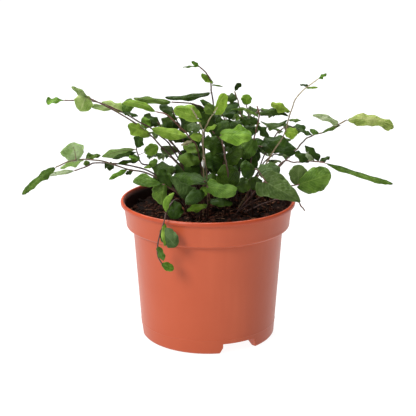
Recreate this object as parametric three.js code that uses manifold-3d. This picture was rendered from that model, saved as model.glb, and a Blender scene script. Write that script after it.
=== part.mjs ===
// A button fern in a thin-walled plastic nursery pot of 12 cm.
// Millimetres, +Z up. The origin is on the pot's axis, in the plane it stands on, and +Y points to the back.
// Each frond is one solid: a wiry stem with its leaflets grown on. Stems stand in holes in the soil.

import * as THREE from 'three';
import { mergeVertices } from 'three/addons/utils/BufferGeometryUtils.js';
import Module from 'manifold-3d';

const wasm = await Module();
wasm.setup();

// Pot
const POT_HEIGHT = 96;
const RIM_RADIUS = 60;
const LIP_HEIGHT = 3;
const LIP_WIDTH = 2.6;
const COLLAR_TOP_RADIUS = 57.9;
const COLLAR_FOOT_RADIUS = 56.2;
const COLLAR_FOOT_HEIGHT = 79;
const WALL_TOP_RADIUS = 51.6;
const WALL_TOP_HEIGHT = 76.8;
const WALL_FOOT_RADIUS = 46.5;
const WALL = 1.3;
const FLOOR_HEIGHT = 7;
const FOOT_OUTER_RADIUS = 45.7;
const FOOT_INNER_RADIUS = 42.2;
const FOOT_SLOPE_RADIUS = 37;
const POT_SIDES = 36;

// Three notches part the foot ring, and seven holes drain the floor.
const NOTCH_COUNT = 3;
const NOTCH_CENTRE = -63;
const NOTCH_WIDTH = 36;
const NOTCH_DRAFT = 3.6;
const DRAIN_COUNT = 6;
const DRAIN_RADIUS = 3.5;
const DRAIN_CIRCLE = 26;
const DRAIN_SIDES = 8;

// Potting mix
const GAP = 0.4;
const SOIL_LEVEL = 87.6;
const SOIL_TILT = 0.035;
const SOIL_RADIUS = 54.9;
const SOIL_RINGS = 4;
const SOIL_SIDES = 28;

// Plant
const STEM_RADIUS = 0.65;
const STEM_SIDES = 4;
const STEM_STEP = 14;
const ROOT_DEPTH = 9;
const HOLE_RADIUS = 1.25;
const BLADE = 1.0;
const FINE_WIDTH = 15;
const COARSE_ROWS = 4;
const SUNK = 0.6;

// Nothing on one frond comes nearer than this to another frond, measured between points spread over both.
const CLEARANCE = 2.9;
// A leaflet that would touch another frond is bent away from the viewer, or towards, by these steps.
const BENDS = [0, 4, -4, 8, -8, 12, -12, 16];
const BEND_DROP = 0.29;

// How each kind of leaflet is cut and shaped. skew moves the widest place to the tip when over 1, full
// squares the outline, lobe draws the base back in two lobes, cup lifts the edges, arch lifts the middle,
// bow bends the midrib sideways, wave and ripples bend the edge up and down, notch and teeth cut it, start
// is the share that is a bare stalk, plus and minus are the relative widths of the two halves at five places,
// and rows is the number of steps along the midrib.
const PLACES = [0.1, 0.3, 0.5, 0.7, 0.9];
const EVEN = [1, 1, 1, 1, 1];
const STALK_HALF = 0.5;
const PLAIN = {
  skew: 1,
  full: 0.5,
  lobe: 0,
  cup: -0.26,
  arch: 0.05,
  bow: 0,
  wave: 0.18,
  ripples: 2,
  notch: 0,
  teeth: 0,
  start: 0,
  plus: EVEN,
  minus: EVEN,
  rows: 5,
};
const TOOTHED = { ...PLAIN, skew: 0.85, full: 0.4, wave: 0.3, ripples: 3, notch: 0.22, teeth: 5, rows: 10 };
const SHAPES = {
  round: { ...PLAIN, lobe: 0.1 },
  oval: { ...PLAIN, skew: 0.95, full: 0.62, arch: 0.07 },
  small: { ...PLAIN, full: 0.55, rows: 4 },
  crown: { ...PLAIN, lobe: 0.1, rows: 4 },
  heart: { ...PLAIN, skew: 0.6, full: 0.66, lobe: 0.26, cup: -0.16, rows: 6 },
  fan: { ...PLAIN, skew: 1.7, full: 0.6, cup: 0.12, wave: 0.18 },
  ribbon: { ...PLAIN, skew: 0.9, full: 0.42, cup: -0.26, wave: 0.26, ripples: 2.5, rows: 7 },
  toothed: TOOTHED,
  toothed_flat: { ...TOOTHED, arch: 0 },
  toothed_arched: { ...TOOTHED, arch: 0.1 },
};

// The fronds that the front view shows. A route runs from the spot [x, y] where the stem leaves the soil
// through points [x, y, z] to its tip. A leaflet is [share of the way along the stem, its tip x, y, z,
// its width, the way its upper face looks x, y, z, its kind, what differs from that kind].
const FRONDS = {
  left_high: {
    route: [[-2, 2], [-14, -6, 114], [-29, -12, 133], [-45, -18, 150], [-64, -24, 163.5], [-79.5, -28, 172]],
    leaflets: [
      [0.97, -87.5, -30, 178.5, 4.5, -0.2, -0.6, 0.7, 'oval'],
      [0.99, -83, -25, 161.5, 12.5, 0.1, -0.9, 0.3, 'round', { lobe: 0.15 }],
      [0.78, -77, -19, 164, 5, 0, -0.7, 0.7, 'oval'],
      [0.51, -52.5, -22, 151.5, 9, 0, -0.8, 0.6, 'oval', { skew: 1.25, full: 0.5 }],
    ],
  },
  left_back: {
    route: [[-3, 8], [-20, 2, 123], [-30, -4, 139], [-49, -10, 153.5], [-73, -14, 165.5], [-94, -16, 167]],
    leaflets: [
      [1, -106, -18, 166.5, 7, 0, -0.5, 0.85, 'fan', {
        plus: [1, 1, 0.9, 0.8, 1.2], minus: [1, 1, 1, 1, 1.3],
      }],
      [0.66, -70.5, -8, 164.5, 9, 0, -0.75, 0.65, 'oval', {
        plus: [1.5, 1.35, 1.1, 1, 0.9], minus: [0.4, 0.4, 0.4, 0.4, 0.5],
      }],
      [0.67, -46, -14, 156, 3.5, 0, -0.5, 0.85, 'oval'],
      [0.5, -14, -8, 141.5, 8.5, 0, -0.75, 0.65, 'oval', { skew: 1.1, full: 0.5, bow: 0.05 }],
      [0.51, -43.5, -4, 153.5, 6.5, 0, -0.75, 0.65, 'round'],
      [0.66, -51, -6, 166.5, 8.5, 0, -0.75, 0.65, 'oval'],
    ],
  },
  left_inner: {
    route: [[2, 6], [-17, 2, 125], [-26, 0, 136], [-31, 0, 145], [-34, 0, 149]],
    leaflets: [
      [0.9, -43, 2, 154, 9, 0, -0.5, 0.85, 'round', { wave: 0.3 }],
      [0.76, -23.5, 2, 154.5, 9, 0, -0.5, 0.85, 'round', { wave: 0.3 }],
    ],
  },
  centre_left: {
    route: [[-2, 4], [-5, -8, 121], [-8, -14, 136], [-16, -18, 147], [-26, -22, 158], [-33.5, -24, 161]],
    leaflets: [
      [1, -55.5, -28, 167.5, 6, 0, -0.7, 0.7, 'oval', { bow: 0.08 }],
      [0.46, -18, -14, 136.5, 3, 0, -0.7, 0.7, 'small'],
      [0.33, -16, -10, 138, 9, 0.1, -0.6, 0.8, 'round'],
      [0.24, -20, -12, 127, 10, 0, -0.8, 0.6, 'round'],
      [0.19, -16, -6, 117, 11, 0, -0.9, 0.3, 'round'],
    ],
  },
  upper_dark: {
    route: [[6, 14], [7, 16, 126], [1, 14, 151], [-9, 12, 159], [-24.5, 10, 161]],
    leaflets: [
      [1, -50.5, 8, 164, 6, 0, -0.6, 0.8, 'ribbon', { bow: -0.03, wave: 0.12 }],
      [0.72, -8, 18, 149, 12, 0, -0.6, 0.8, 'round'],
    ],
  },
  young_right: {
    route: [[0, -14], [-1, -24, 120], [-3.5, -32, 144], [0, -36, 156.5], [6, -38, 166.5]],
    leaflets: [
      [0.96, 11, -38, 175.5, 8.5, -0.2, -0.9, 0.3, 'round', {
        lobe: 0.3, plus: [1.6, 1.35, 1.1, 1, 1], minus: [0.3, 0.4, 0.6, 0.8, 0.9],
      }],
      [0.91, -1.5, -36, 168, 7.5, 0, -0.8, 0.6, 'round'],
      [0.6, 5.5, -38, 155, 4, 0, -0.6, 0.8, 'oval'],
    ],
  },
  young_left: {
    route: [[-3, -14], [-3, -28, 126], [-3.5, -38, 150], [-7, -42, 160.5], [-10.5, -45, 167.5]],
    leaflets: [
      [0.74, -21.5, -37, 164.5, 11, 0, -0.85, 0.55, 'round', {
        lobe: 0.25, plus: [1.9, 1.5, 1.25, 1.1, 1], minus: [0.7, 0.7, 0.65, 0.7, 0.8],
      }],
      [0.56, -13.5, -36, 154.5, 8.5, 0, -0.6, 0.8, 'round'],
      [0.48, -11.5, -40, 148, 6.5, 0, -0.9, 0.4, 'oval', {
        plus: [0.6, 0.6, 0.6, 0.6, 0.6], minus: [1.2, 1.4, 1.2, 1, 0.8],
      }],
    ],
  },
  top: {
    route: [[4, 12], [5, 14, 127], [3.5, 12, 161], [2, 10, 169], [2, 9, 175], [-1, 8, 181], [-6, 6, 186]],
    leaflets: [
      [0.99, -11, 5, 189.5, 3.5, 0, -0.7, 0.7, 'oval'],
      [1, -17, 5, 185.5, 2, 0, -0.4, 1, 'small'],
      [0.69, -4.5, 8, 180.5, 5.5, 0, -0.6, 0.8, 'round', { lobe: 0.4 }],
      [0.61, 10, 8, 172, 2, 0, -0.4, 1, 'small'],
      [0.44, -29, 6, 165, 5, 0, -0.7, 0.75, 'ribbon', { bow: -0.085, wave: 0.1, skew: 0.75 }],
    ],
  },
  right_up: {
    route: [[22, 10], [27, 8, 121], [24.5, 6, 144], [21.5, 6, 158], [18, 5, 169]],
    leaflets: [
      [1, 22, 4, 175, 4.5, 0.5, -0.8, 0.2, 'fan', { bow: -0.12 }],
      [0.91, 12, 6, 164.5, 7.5, 0, -0.7, 0.6, 'round'],
      [0.81, 11.5, 2, 158.5, 6.5, 0, -0.7, 0.7, 'round'],
      [0.59, 18, 4, 153.5, 5.5, 0, -0.5, 0.8, 'small'],
      [0.61, 29, 4, 146.5, 7.5, 0, -0.6, 0.8, 'round'],
    ],
  },
  right_thin: {
    route: [[27, 16], [30, 14, 127], [28, 12, 150], [26, 12, 159]],
    leaflets: [
      [1, 26.5, 12, 166, 7.5, 0, -0.9, 0.4, 'round'],
    ],
  },
  centre_right: {
    route: [[26, -4], [29, -8, 125], [31, -10, 141], [34, -10, 155], [32.5, -10, 162]],
    leaflets: [
      [0.74, 15.5, -8, 159.5, 3, 0, -0.5, 0.8, 'small', { bow: 0.16 }],
      [0.65, 28.5, -8, 154, 5.5, 0, -0.8, 0.6, 'small'],
      [0.63, 41, -6, 140.5, 6.5, 0, -0.7, 0.7, 'small'],
      [0.47, 22.5, -14, 128, 12, -0.2, -0.9, 0.3, 'round'],
      [0.56, 23.5, -9, 147, 8.5, 0, -0.7, 0.6, 'round'],
      [0.27, 27, -2, 114.5, 11.5, 0, -0.85, 0.4, 'round'],
      [0.34, 34, -6, 123.5, 8, 0, -0.85, 0.4, 'round'],
    ],
  },
  right_high: {
    route: [[21, 2], [40, -8, 124], [50.5, -14, 144], [54, -18, 159], [59, -22, 172], [71, -26, 183]],
    leaflets: [
      [1, 76, -28, 186.5, 3.5, 0, -0.6, 0.8, 'oval'],
      [0.91, 59.5, -22, 178.5, 2.5, 0, -0.5, 1, 'small'],
      [0.88, 71, -24, 177, 2.5, 0, -0.5, 1, 'small'],
      [0.61, 41, -22, 166, 7, 0, -0.7, 0.7, 'oval', { skew: 1.2, full: 0.5 }],
      [0.57, 34, -24, 158.5, 5, 0, -0.8, 0.6, 'oval', { bow: 0.15 }],
      [0.53, 34.5, -18, 153.5, 4.5, 0, -0.7, 0.7, 'oval', { bow: -0.2, arch: -0.02 }],
      [0.53, 61, -18, 154, 3.5, 0, -0.5, 1, 'small'],
      [0.42, 59, -18, 145, 8, 0.2, -0.9, 0.4, 'round'],
    ],
  },
  right_mid: {
    route: [[22, 0], [51, -4, 122], [60.5, -6, 133], [68, -8, 141], [79, -10, 145], [91.5, -14, 153.5]],
    leaflets: [
      [1, 124, -8, 148, 10.5, 0, -0.7, 0.7, 'toothed_arched', {
        skew: 1.05, full: 0.28, notch: 0.1, bow: -0.04,
      }],
      [0.93, 69.5, -10, 156, 5.5, 0, -0.7, 0.8, 'ribbon', { bow: 0.07, skew: 0.65, wave: 0.1 }],
      [0.74, 88, -12, 149.5, 4, 0, -0.4, 0.9, 'oval'],
      [0.72, 68, -8, 146, 5.5, 0, -0.4, 0.9, 'small'],
      [0.64, 59.5, -8, 146.5, 4.5, 0, -0.4, 0.9, 'small'],
      [0.35, 37.5, 0, 137.5, 13.5, 0, -0.8, 0.6, 'round', {
        wave: 0.25, plus: [0.7, 0.85, 1, 1.05, 1.1], minus: [1.1, 0.95, 0.8, 0.8, 0.9],
      }],
    ],
  },
  right_low: {
    route: [[19, -10], [48, -18, 124], [57, -22, 126.5], [67, -24, 128], [76, -26, 127.5]],
    leaflets: [
      [1, 121.5, -30, 114, 5.5, 0, -0.6, 0.85, 'toothed_flat', {
        notch: 0.1, skew: 1.1, full: 0.34, bow: 0.01, wave: 0.12,
      }],
      [0.84, 64.5, -26, 134, 6, 0, -0.7, 0.7, 'fan'],
      [0.92, 80.5, -22, 130.5, 4, 0, -0.5, 0.9, 'oval'],
      [0.92, 63.5, -24, 138.5, 7, 0, -0.6, 0.8, 'oval', {
        plus: [1.8, 1.6, 1.2, 1, 0.9], minus: [0.4, 0.5, 0.6, 0.7, 0.8],
      }],
      [0.74, 57.5, -23, 134, 7.5, 0, -0.6, 0.8, 'round'],
    ],
  },
  right_front_out: {
    route: [[18, -14], [41, -34, 110], [58.5, -44, 117.5]],
    leaflets: [
      [1, 78.5, -48, 125.5, 17, 0.1, -0.95, 0.3, 'round', {
        lobe: 0.14, plus: [1.3, 1.15, 1, 0.95, 0.9], minus: [0.5, 0.7, 0.85, 0.95, 1],
      }],
      [0.98, 58.5, -42, 130, 12, 0, -0.9, 0.4, 'round'],
    ],
  },
  right_front_in: {
    route: [[30, -22], [28, -32, 112], [27, -38, 123], [31, -42, 127], [35, -46, 123], [37, -48, 120]],
    leaflets: [
      [1, 59, -54, 108.5, 20.5, 0, -0.95, 0.35, 'heart', {
        plus: [1.1, 0.8, 0.6, 0.5, 0.45], minus: [1, 0.9, 0.85, 0.75, 0.75],
      }],
      [0.68, 46.5, -40, 127.5, 12.5, 0, -0.7, 0.7, 'round'],
      [0.56, 21, -46, 128, 12, 0, -0.9, 0.4, 'round'],
      [0.26, 18, -36, 113, 10, 0, -0.9, 0.4, 'round'],
      [0.29, 36, -30, 111, 9, 0, -0.9, 0.3, 'round'],
    ],
  },
  left_low: {
    route: [
      [-5, -4], [-35, -16, 115], [-55, -22, 122.5],
      [-72, -28, 129.5], [-87.5, -30, 130], [-99, -32, 126],
    ],
    leaflets: [
      [1, -121.5, -36, 108.5, 6.5, 0, -0.7, 0.7, 'toothed_flat', {
        notch: 0.08, wave: 0.12, bow: 0.05, plus: [1.3, 1.1, 1, 1, 1],
      }],
      [0.71, -97.5, -24, 123, 7.5, 0, 0.6, 0.8, 'oval'],
      [0.78, -88.5, -26, 141, 16.5, 0, 0.8, 0.5, 'round', { minus: [0.8, 0.9, 1, 0.9, 0.7] }],
      [0.7, -70.5, -24, 132, 6.5, 0, -0.7, 0.7, 'oval', {
        minus: [1.4, 1.5, 1.1, 0.9, 0.7], plus: [0.4, 0.5, 0.5, 0.5, 0.5],
      }],
      [0.38, -65.5, -26, 116, 4, 0, -0.7, 0.7, 'oval'],
      [0.34, -55, -18, 118, 4.5, 0, -0.6, 0.8, 'small'],
    ],
  },
  left_low_back: {
    route: [[-6, 0], [-39, -6, 116], [-71, -12, 124], [-82, -14, 121.5], [-89, -16, 119.5]],
    leaflets: [
      [1, -107, -18, 116.5, 4.5, 0, -0.6, 1, 'oval'],
      [0.7, -82, -12, 125.5, 4.5, 0, -0.7, 0.7, 'small'],
      [0.48, -63, -16, 121, 6.5, 0, -0.6, 0.8, 'oval'],
    ],
  },
  left_mid: {
    route: [[-8, 7], [-29, 0, 115], [-39, -4, 120], [-45, -6, 122], [-47, -8, 128], [-48, -10, 133]],
    leaflets: [
      [1, -44.5, -12, 142, 9.5, 0, -0.6, 0.8, 'fan', { wave: 0.3 }],
      [1, -71, -13, 128.5, 7, 0, 0.85, 0.4, 'oval', { skew: 1.2 }],
      [0.91, -63.5, -17, 128, 4.5, 0, -0.5, 0.85, 'small'],
      [0.77, -51.5, -19, 128.5, 6.5, 0, -0.8, 0.6, 'round'],
      [0.69, -60, -13, 123.5, 4.5, 0, -0.5, 0.9, 'small'],
      [0.81, -33.5, -5, 133.5, 8, 0.1, -0.9, 0.4, 'round', { start: 0.42, lobe: 0.2 }],
      [0.44, -34, -8, 124.5, 5.5, 0, -0.8, 0.6, 'small'],
      [0.4, -22, -6, 117, 10, 0, -0.6, 0.8, 'oval'],
      [0.24, -38, -12, 113, 8, 0, -0.6, 0.8, 'oval'],
      [0.37, -43, -10, 120, 3, 0, -0.6, 0.8, 'small'],
    ],
  },
  front_left: {
    route: [[-9.5, -22.5], [-17.5, -38, 107.5], [-28.5, -46, 118]],
    leaflets: [
      [1, -48, -50, 120.5, 12, 0, -0.7, 0.7, 'fan', {
        plus: [1, 1, 1, 1.05, 0.9], minus: [0.9, 0.8, 0.6, 0.5, 0.4],
      }],
      [0.99, -30, -50, 105.5, 13, 0, -0.9, 0.3, 'round', {
        plus: [1.3, 1.2, 1.1, 1, 0.8], minus: [0.5, 0.4, 0.4, 0.5, 0.6],
      }],
      [0.4, -23.5, -49, 124, 23, -0.3, -0.85, 0.45, 'round', {
        plus: [0.8, 1.09, 0.67, 0.37, 0.45], minus: [0.12, 0.1, 0.1, 0.12, 0.2],
      }],
      [0.83, -31, -42, 127, 10, 0, -0.7, 0.7, 'round'],
    ],
  },
  front_centre: {
    route: [[-5, -20], [-3, -34, 107], [-2, -42, 117], [-2, -44, 120]],
    leaflets: [
      [1, -11.5, -46, 122, 4, 0, -0.5, 1, 'small'],
      [0.48, -14, -48, 105.5, 9, 0, -0.9, 0.4, 'oval'],
      [0.6, -3.5, -45, 109.5, 5.5, 0, -0.8, 0.6, 'small'],
      [0.81, -22.5, -27, 120, 10.5, 0, -0.7, 0.7, 'round'],
    ],
  },
  front_low: {
    route: [[-1, -25], [0, -32, 100], [1, -42, 107.5], [-0.5, -50, 117.5]],
    leaflets: [
      [0.99, 18, -57, 116.5, 11, 0, -0.85, 0.5, 'round', {
        full: 0.25, minus: [1.5, 0.75, 0.6, 0.7, 0.9], plus: [0.8, 1, 1, 1, 0.9],
      }],
      [0.54, 16, -42, 104, 6, 0, -0.8, 0.6, 'round'],
      [0.35, -13.5, -42, 99, 6, 0, -0.7, 0.7, 'oval'],
    ],
  },
  front_hanging: {
    route: [
      [-12, -16], [-20, -36, 105], [-26, -52, 103], [-28, -57, 96],
      [-30.5, -59, 88.5], [-32.5, -59, 80.5], [-32, -58, 73], [-29.5, -58, 68],
    ],
    leaflets: [
      [0.33, -21.5, -54, 114.5, 4.5, 0.3, -0.9, 0.3, 'oval', { bow: -0.17 }],
      [0.2, -20, -50, 96, 10.5, 0, -0.95, 0.3, 'round'],
      [0.43, -27.5, -61, 81, 5, 0.6, -0.8, 0.2, 'oval'],
      [0.52, -20, -63, 81.5, 11, -0.2, -0.95, 0.2, 'round'],
      [0.71, -28.5, -60, 71, 5, -0.4, -0.8, 0.3, 'small'],
      [1, -22, -60, 65, 5.5, 0, -0.9, 0.3, 'round'],
    ],
  },
  centre_front: {
    route: [[11, -20], [13, -42, 120], [10.5, -56, 139.5], [8, -66, 154.5]],
    leaflets: [
      [1, 26.5, -74, 156, 14.5, 0, -0.8, 0.6, 'round', {
        minus: [1, 1.1, 1, 0.95, 0.85], plus: [0.7, 0.75, 0.8, 0.85, 0.9],
      }],
      [0.22, 13, -48, 131, 15, 0, -0.85, 0.5, 'round'],
    ],
  },
  dark_front: {
    route: [[6, 0], [8, -6, 110], [11, -10, 125], [9, -12, 138], [3, -14, 146]],
    leaflets: [
      [0.43, -2, -12, 129, 14, 0, -0.7, 0.7, 'round'],
      [0.51, 22.5, -6, 131, 15, 0, -0.7, 0.7, 'round'],
      [0.68, -2.5, -14, 140, 13.5, 0, -0.7, 0.7, 'round'],
      [0.79, 20.5, -8, 143, 11.5, 0, -0.7, 0.7, 'round'],
      [0.99, -3, -14, 159, 11, 0, -0.8, 0.5, 'round'],
      [0.55, 3, -2, 115.5, 12.5, 0.2, -0.8, 0.5, 'round'],
      [0.29, 19.5, -4, 119.5, 13, -0.2, -0.8, 0.5, 'round'],
      [0.27, -3, -12, 108, 13, 0, -0.85, 0.4, 'round'],
      [0.26, 19, -14, 108.5, 12, 0, -0.85, 0.4, 'round'],
      [0.95, 14, -14, 152, 10, 0, -0.7, 0.6, 'round'],
    ],
  },
  dark_back: {
    route: [[10, 8], [10, 8, 114], [12, 8, 135], [11, 8, 150], [5, 8, 157]],
    leaflets: [
      [0.62, 23, 8, 148, 11, 0, -0.7, 0.7, 'round'],
      [0.7, -1, 10, 149, 12, 0, -0.7, 0.7, 'round'],
      [0.81, 20, 6, 159, 9, 0, -0.7, 0.7, 'round'],
      [1, -5, 4, 162, 8, 0, -0.7, 0.7, 'round'],
      [0.41, 2, 12, 131, 12, 0, -0.7, 0.7, 'round'],
      [0.49, 25, 14, 131.5, 12.5, 0.2, -0.7, 0.6, 'round'],
      [0.54, 1.5, 6, 142, 11.5, -0.2, -0.7, 0.6, 'round'],
      [0.35, 24.5, 10, 118, 13, 0.2, -0.7, 0.6, 'round'],
      [0.3, -0.5, 14, 115, 14, 0, -0.8, 0.5, 'round'],
      [0.26, 22, 8, 109.5, 13, 0, -0.8, 0.5, 'round'],
    ],
  },
  dark_left: {
    route: [[-4, 10], [-11, 8, 112], [-15, 8, 128], [-19, 8, 143], [-24, 8, 155]],
    leaflets: [
      [0.78, -31, 8, 150, 9, 0, -0.7, 0.7, 'round'],
      [0.72, -9, 10, 152, 12, 0, -0.7, 0.7, 'round'],
      [0.99, -33, 12, 158.5, 7, 0, -0.7, 0.7, 'round'],
      [0.41, -3, 12, 129, 13, 0, -0.7, 0.7, 'round'],
      [0.3, -18, 12, 127, 10, 0, -0.7, 0.7, 'round'],
      [0.48, -7.5, 14, 139, 11, 0.2, -0.7, 0.6, 'round'],
      [0.33, -1.5, 4, 113.5, 12.5, 0.2, -0.7, 0.6, 'round'],
      [0.26, -22.5, 10, 116.5, 11.5, 0, -0.8, 0.5, 'round'],
      [0.25, -1, 6, 106.5, 11.5, 0, -0.8, 0.5, 'round'],
      [0.61, -25.5, 12, 138.5, 7.5, -0.2, -0.7, 0.6, 'round'],
    ],
  },
};

// The rest of the crown, which the front view only shows through gaps: [lean direction in degrees, reach from
// the root, height of the arch, root x, root y]. Leaflets stand along these stems by a rule.
const CROWN = {
  inner_1: [340, 22, 132, 16, 8],
  inner_2: [95, 18, 152, -2, 18],
  inner_3: [70, 20, 142, 18, 14],
  back_1: [66, 52, 146, 20, 20],
  back_2: [88, 40, 142, 12, 26],
  back_3: [114, 50, 146, 2, 22],
  back_4: [134, 58, 136, -8, 18],
  back_5: [48, 50, 136, 30, 19],
  back_low_1: [76, 34, 114, 18, 32],
  back_low_2: [108, 37, 112, 4, 32],
  back_low_3: [130, 46, 114, -8, 26],
  back_low_4: [54, 44, 114, 28, 26],
};
const CROWN_FIRST = 0.36;
const CROWN_SPACING = 8.5;
const CROWN_LEAFLET = 15;
const CROWN_SEED = 40;

// A dead stem without leaflets, which leans out over the rim
const TWIG_ROUTE = [[24, -9], [45, -14, 98.6], [59, -16, 98.4], [63, -18, 95], [65, -19, 92.5]];

// Repeatable random numbers from 0 to 1
function draws(seed) {
  let state = seed * 7919 + 17;
  return () => {
    state = (state * 1664525 + 1013904223) % 4294967296;
    return state / 4294967296;
  };
}

const vector = (numbers) => new THREE.Vector3(...numbers);

// The top of the potting mix: higher on the right, uneven, and a little lower along the wall
function soilHeight(x, y) {
  const bumps = Math.sin(x * 0.21 + 1) * Math.cos(y * 0.17) + 0.5 * Math.sin(x * 0.11 - y * 0.27);
  return SOIL_LEVEL + SOIL_TILT * x + 0.7 * bumps;
}

// ---- closed meshes and solids ----

function geometryFrom(points, faces) {
  const geometry = new THREE.BufferGeometry();
  geometry.setAttribute('position', new THREE.Float32BufferAttribute(points.flatMap((p) => p.toArray()), 3));
  geometry.setIndex(faces.flat());
  return geometry;
}

function solidFrom(geometry) {
  geometry.deleteAttribute('normal');
  geometry.deleteAttribute('uv');
  const merged = mergeVertices(geometry, 1e-4);
  return new wasm.Manifold(new wasm.Mesh({
    numProp: 3,
    vertProperties: new Float32Array(merged.attributes.position.array),
    triVerts: new Uint32Array(merged.index.array),
  }));
}

function geometryOf(solid) {
  const mesh = solid.getMesh();
  const geometry = new THREE.BufferGeometry();
  geometry.setAttribute('position', new THREE.BufferAttribute(mesh.vertProperties, 3));
  geometry.setIndex(new THREE.BufferAttribute(mesh.triVerts, 1));
  geometry.computeVertexNormals();
  return geometry;
}

// A solid of revolution about +Z. The profile is [radius, height] pairs, counter-clockwise.
function turned(profile, sides) {
  const points = profile.map(([radius, height]) => new THREE.Vector2(radius, height));
  const lathe = new THREE.LatheGeometry(points, sides);
  lathe.rotateX(Math.PI / 2);
  return solidFrom(lathe);
}

// An upright prism over a slice of the circle, in degrees. Its flanks lean in by draft degrees up to the top.
function sector(centre, width, draft, reach, low, high) {
  const corner = (turn, height) => {
    const angle = THREE.MathUtils.degToRad(centre + turn);
    return new THREE.Vector3(reach * Math.cos(angle), reach * Math.sin(angle), height);
  };
  const points = [
    new THREE.Vector3(0, 0, low),
    corner(-width / 2, low),
    corner(width / 2, low),
    new THREE.Vector3(0, 0, high),
    corner(draft - width / 2, high),
    corner(width / 2 - draft, high),
  ];
  const faces = [
    [0, 2, 1], [3, 4, 5], [0, 1, 4], [0, 4, 3], [1, 2, 5], [1, 5, 4], [2, 0, 3], [2, 3, 5],
  ];
  return solidFrom(geometryFrom(points, faces));
}

// A straight or curved bar with flat sides
function bar(path, radius, sides, steps) {
  const corners = Array.from({ length: sides }, (_, i) => (2 * Math.PI * i) / sides)
    .map((angle) => new THREE.Vector2(radius * Math.cos(angle), radius * Math.sin(angle)));
  const options = { steps, extrudePath: path, bevelEnabled: false };
  return solidFrom(new THREE.ExtrudeGeometry(new THREE.Shape(corners), options));
}

// ---- pot ----

function makePot() {
  const lipFoot = POT_HEIGHT - LIP_HEIGHT;
  const mouthRadius = RIM_RADIUS - LIP_WIDTH;
  const outside = turned([
    [0, FLOOR_HEIGHT],
    [FOOT_SLOPE_RADIUS, FLOOR_HEIGHT],
    [FOOT_INNER_RADIUS, 0],
    [FOOT_OUTER_RADIUS, 0],
    [WALL_FOOT_RADIUS, 1],
    [WALL_TOP_RADIUS, WALL_TOP_HEIGHT],
    [COLLAR_FOOT_RADIUS - 1, COLLAR_FOOT_HEIGHT - 1.4],
    [COLLAR_FOOT_RADIUS, COLLAR_FOOT_HEIGHT],
    [COLLAR_TOP_RADIUS, lipFoot],
    [RIM_RADIUS - 0.5, lipFoot + 0.2],
    [RIM_RADIUS, lipFoot + 0.9],
    [RIM_RADIUS, POT_HEIGHT - 0.9],
    [RIM_RADIUS - 0.6, POT_HEIGHT],
    [0, POT_HEIGHT],
  ], POT_SIDES);
  const inside = turned([
    [0, FLOOR_HEIGHT + WALL],
    [WALL_FOOT_RADIUS + 0.5 - WALL, FLOOR_HEIGHT + WALL],
    [WALL_TOP_RADIUS - WALL, WALL_TOP_HEIGHT + 0.8],
    [COLLAR_FOOT_RADIUS - WALL, COLLAR_FOOT_HEIGHT + 1],
    [COLLAR_TOP_RADIUS - WALL, lipFoot],
    [mouthRadius, POT_HEIGHT - 0.6],
    [mouthRadius + 0.2, POT_HEIGHT + 1],
    [0, POT_HEIGHT + 1],
  ], POT_SIDES);
  // The foot ring is hollow from above, as thin as the wall.
  let hollow = turned([
    [FOOT_SLOPE_RADIUS + 0.7, FLOOR_HEIGHT + WALL + 0.1],
    [FOOT_INNER_RADIUS + 0.7, WALL],
    [FOOT_OUTER_RADIUS - WALL, WALL],
    [WALL_FOOT_RADIUS + 0.3 - WALL, FLOOR_HEIGHT + WALL + 0.1],
    [FOOT_SLOPE_RADIUS + 0.7, FLOOR_HEIGHT + WALL + 0.1],
  ], POT_SIDES);
  let body = outside;
  for (let i = 0; i < NOTCH_COUNT; i += 1) {
    const centre = NOTCH_CENTRE + (i * 360) / NOTCH_COUNT;
    body = body.subtract(sector(centre, NOTCH_WIDTH, NOTCH_DRAFT, RIM_RADIUS, -1, FLOOR_HEIGHT));
    const wall = sector(centre, NOTCH_WIDTH + 4, NOTCH_DRAFT, RIM_RADIUS, -1, FLOOR_HEIGHT + 2 * WALL);
    hollow = hollow.subtract(wall);
  }
  body = body.subtract(inside).subtract(hollow);
  for (let i = 0; i <= DRAIN_COUNT; i += 1) {
    const angle = (i * 2 * Math.PI) / DRAIN_COUNT;
    const circle = i < DRAIN_COUNT ? DRAIN_CIRCLE : 0;
    const drill = new THREE.CylinderGeometry(DRAIN_RADIUS, DRAIN_RADIUS, 4 * WALL, DRAIN_SIDES);
    drill.rotateX(Math.PI / 2);
    drill.translate(circle * Math.cos(angle), circle * Math.sin(angle), FLOOR_HEIGHT + WALL / 2);
    body = body.subtract(solidFrom(drill));
  }
  return body;
}

// ---- potting mix ----

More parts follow.
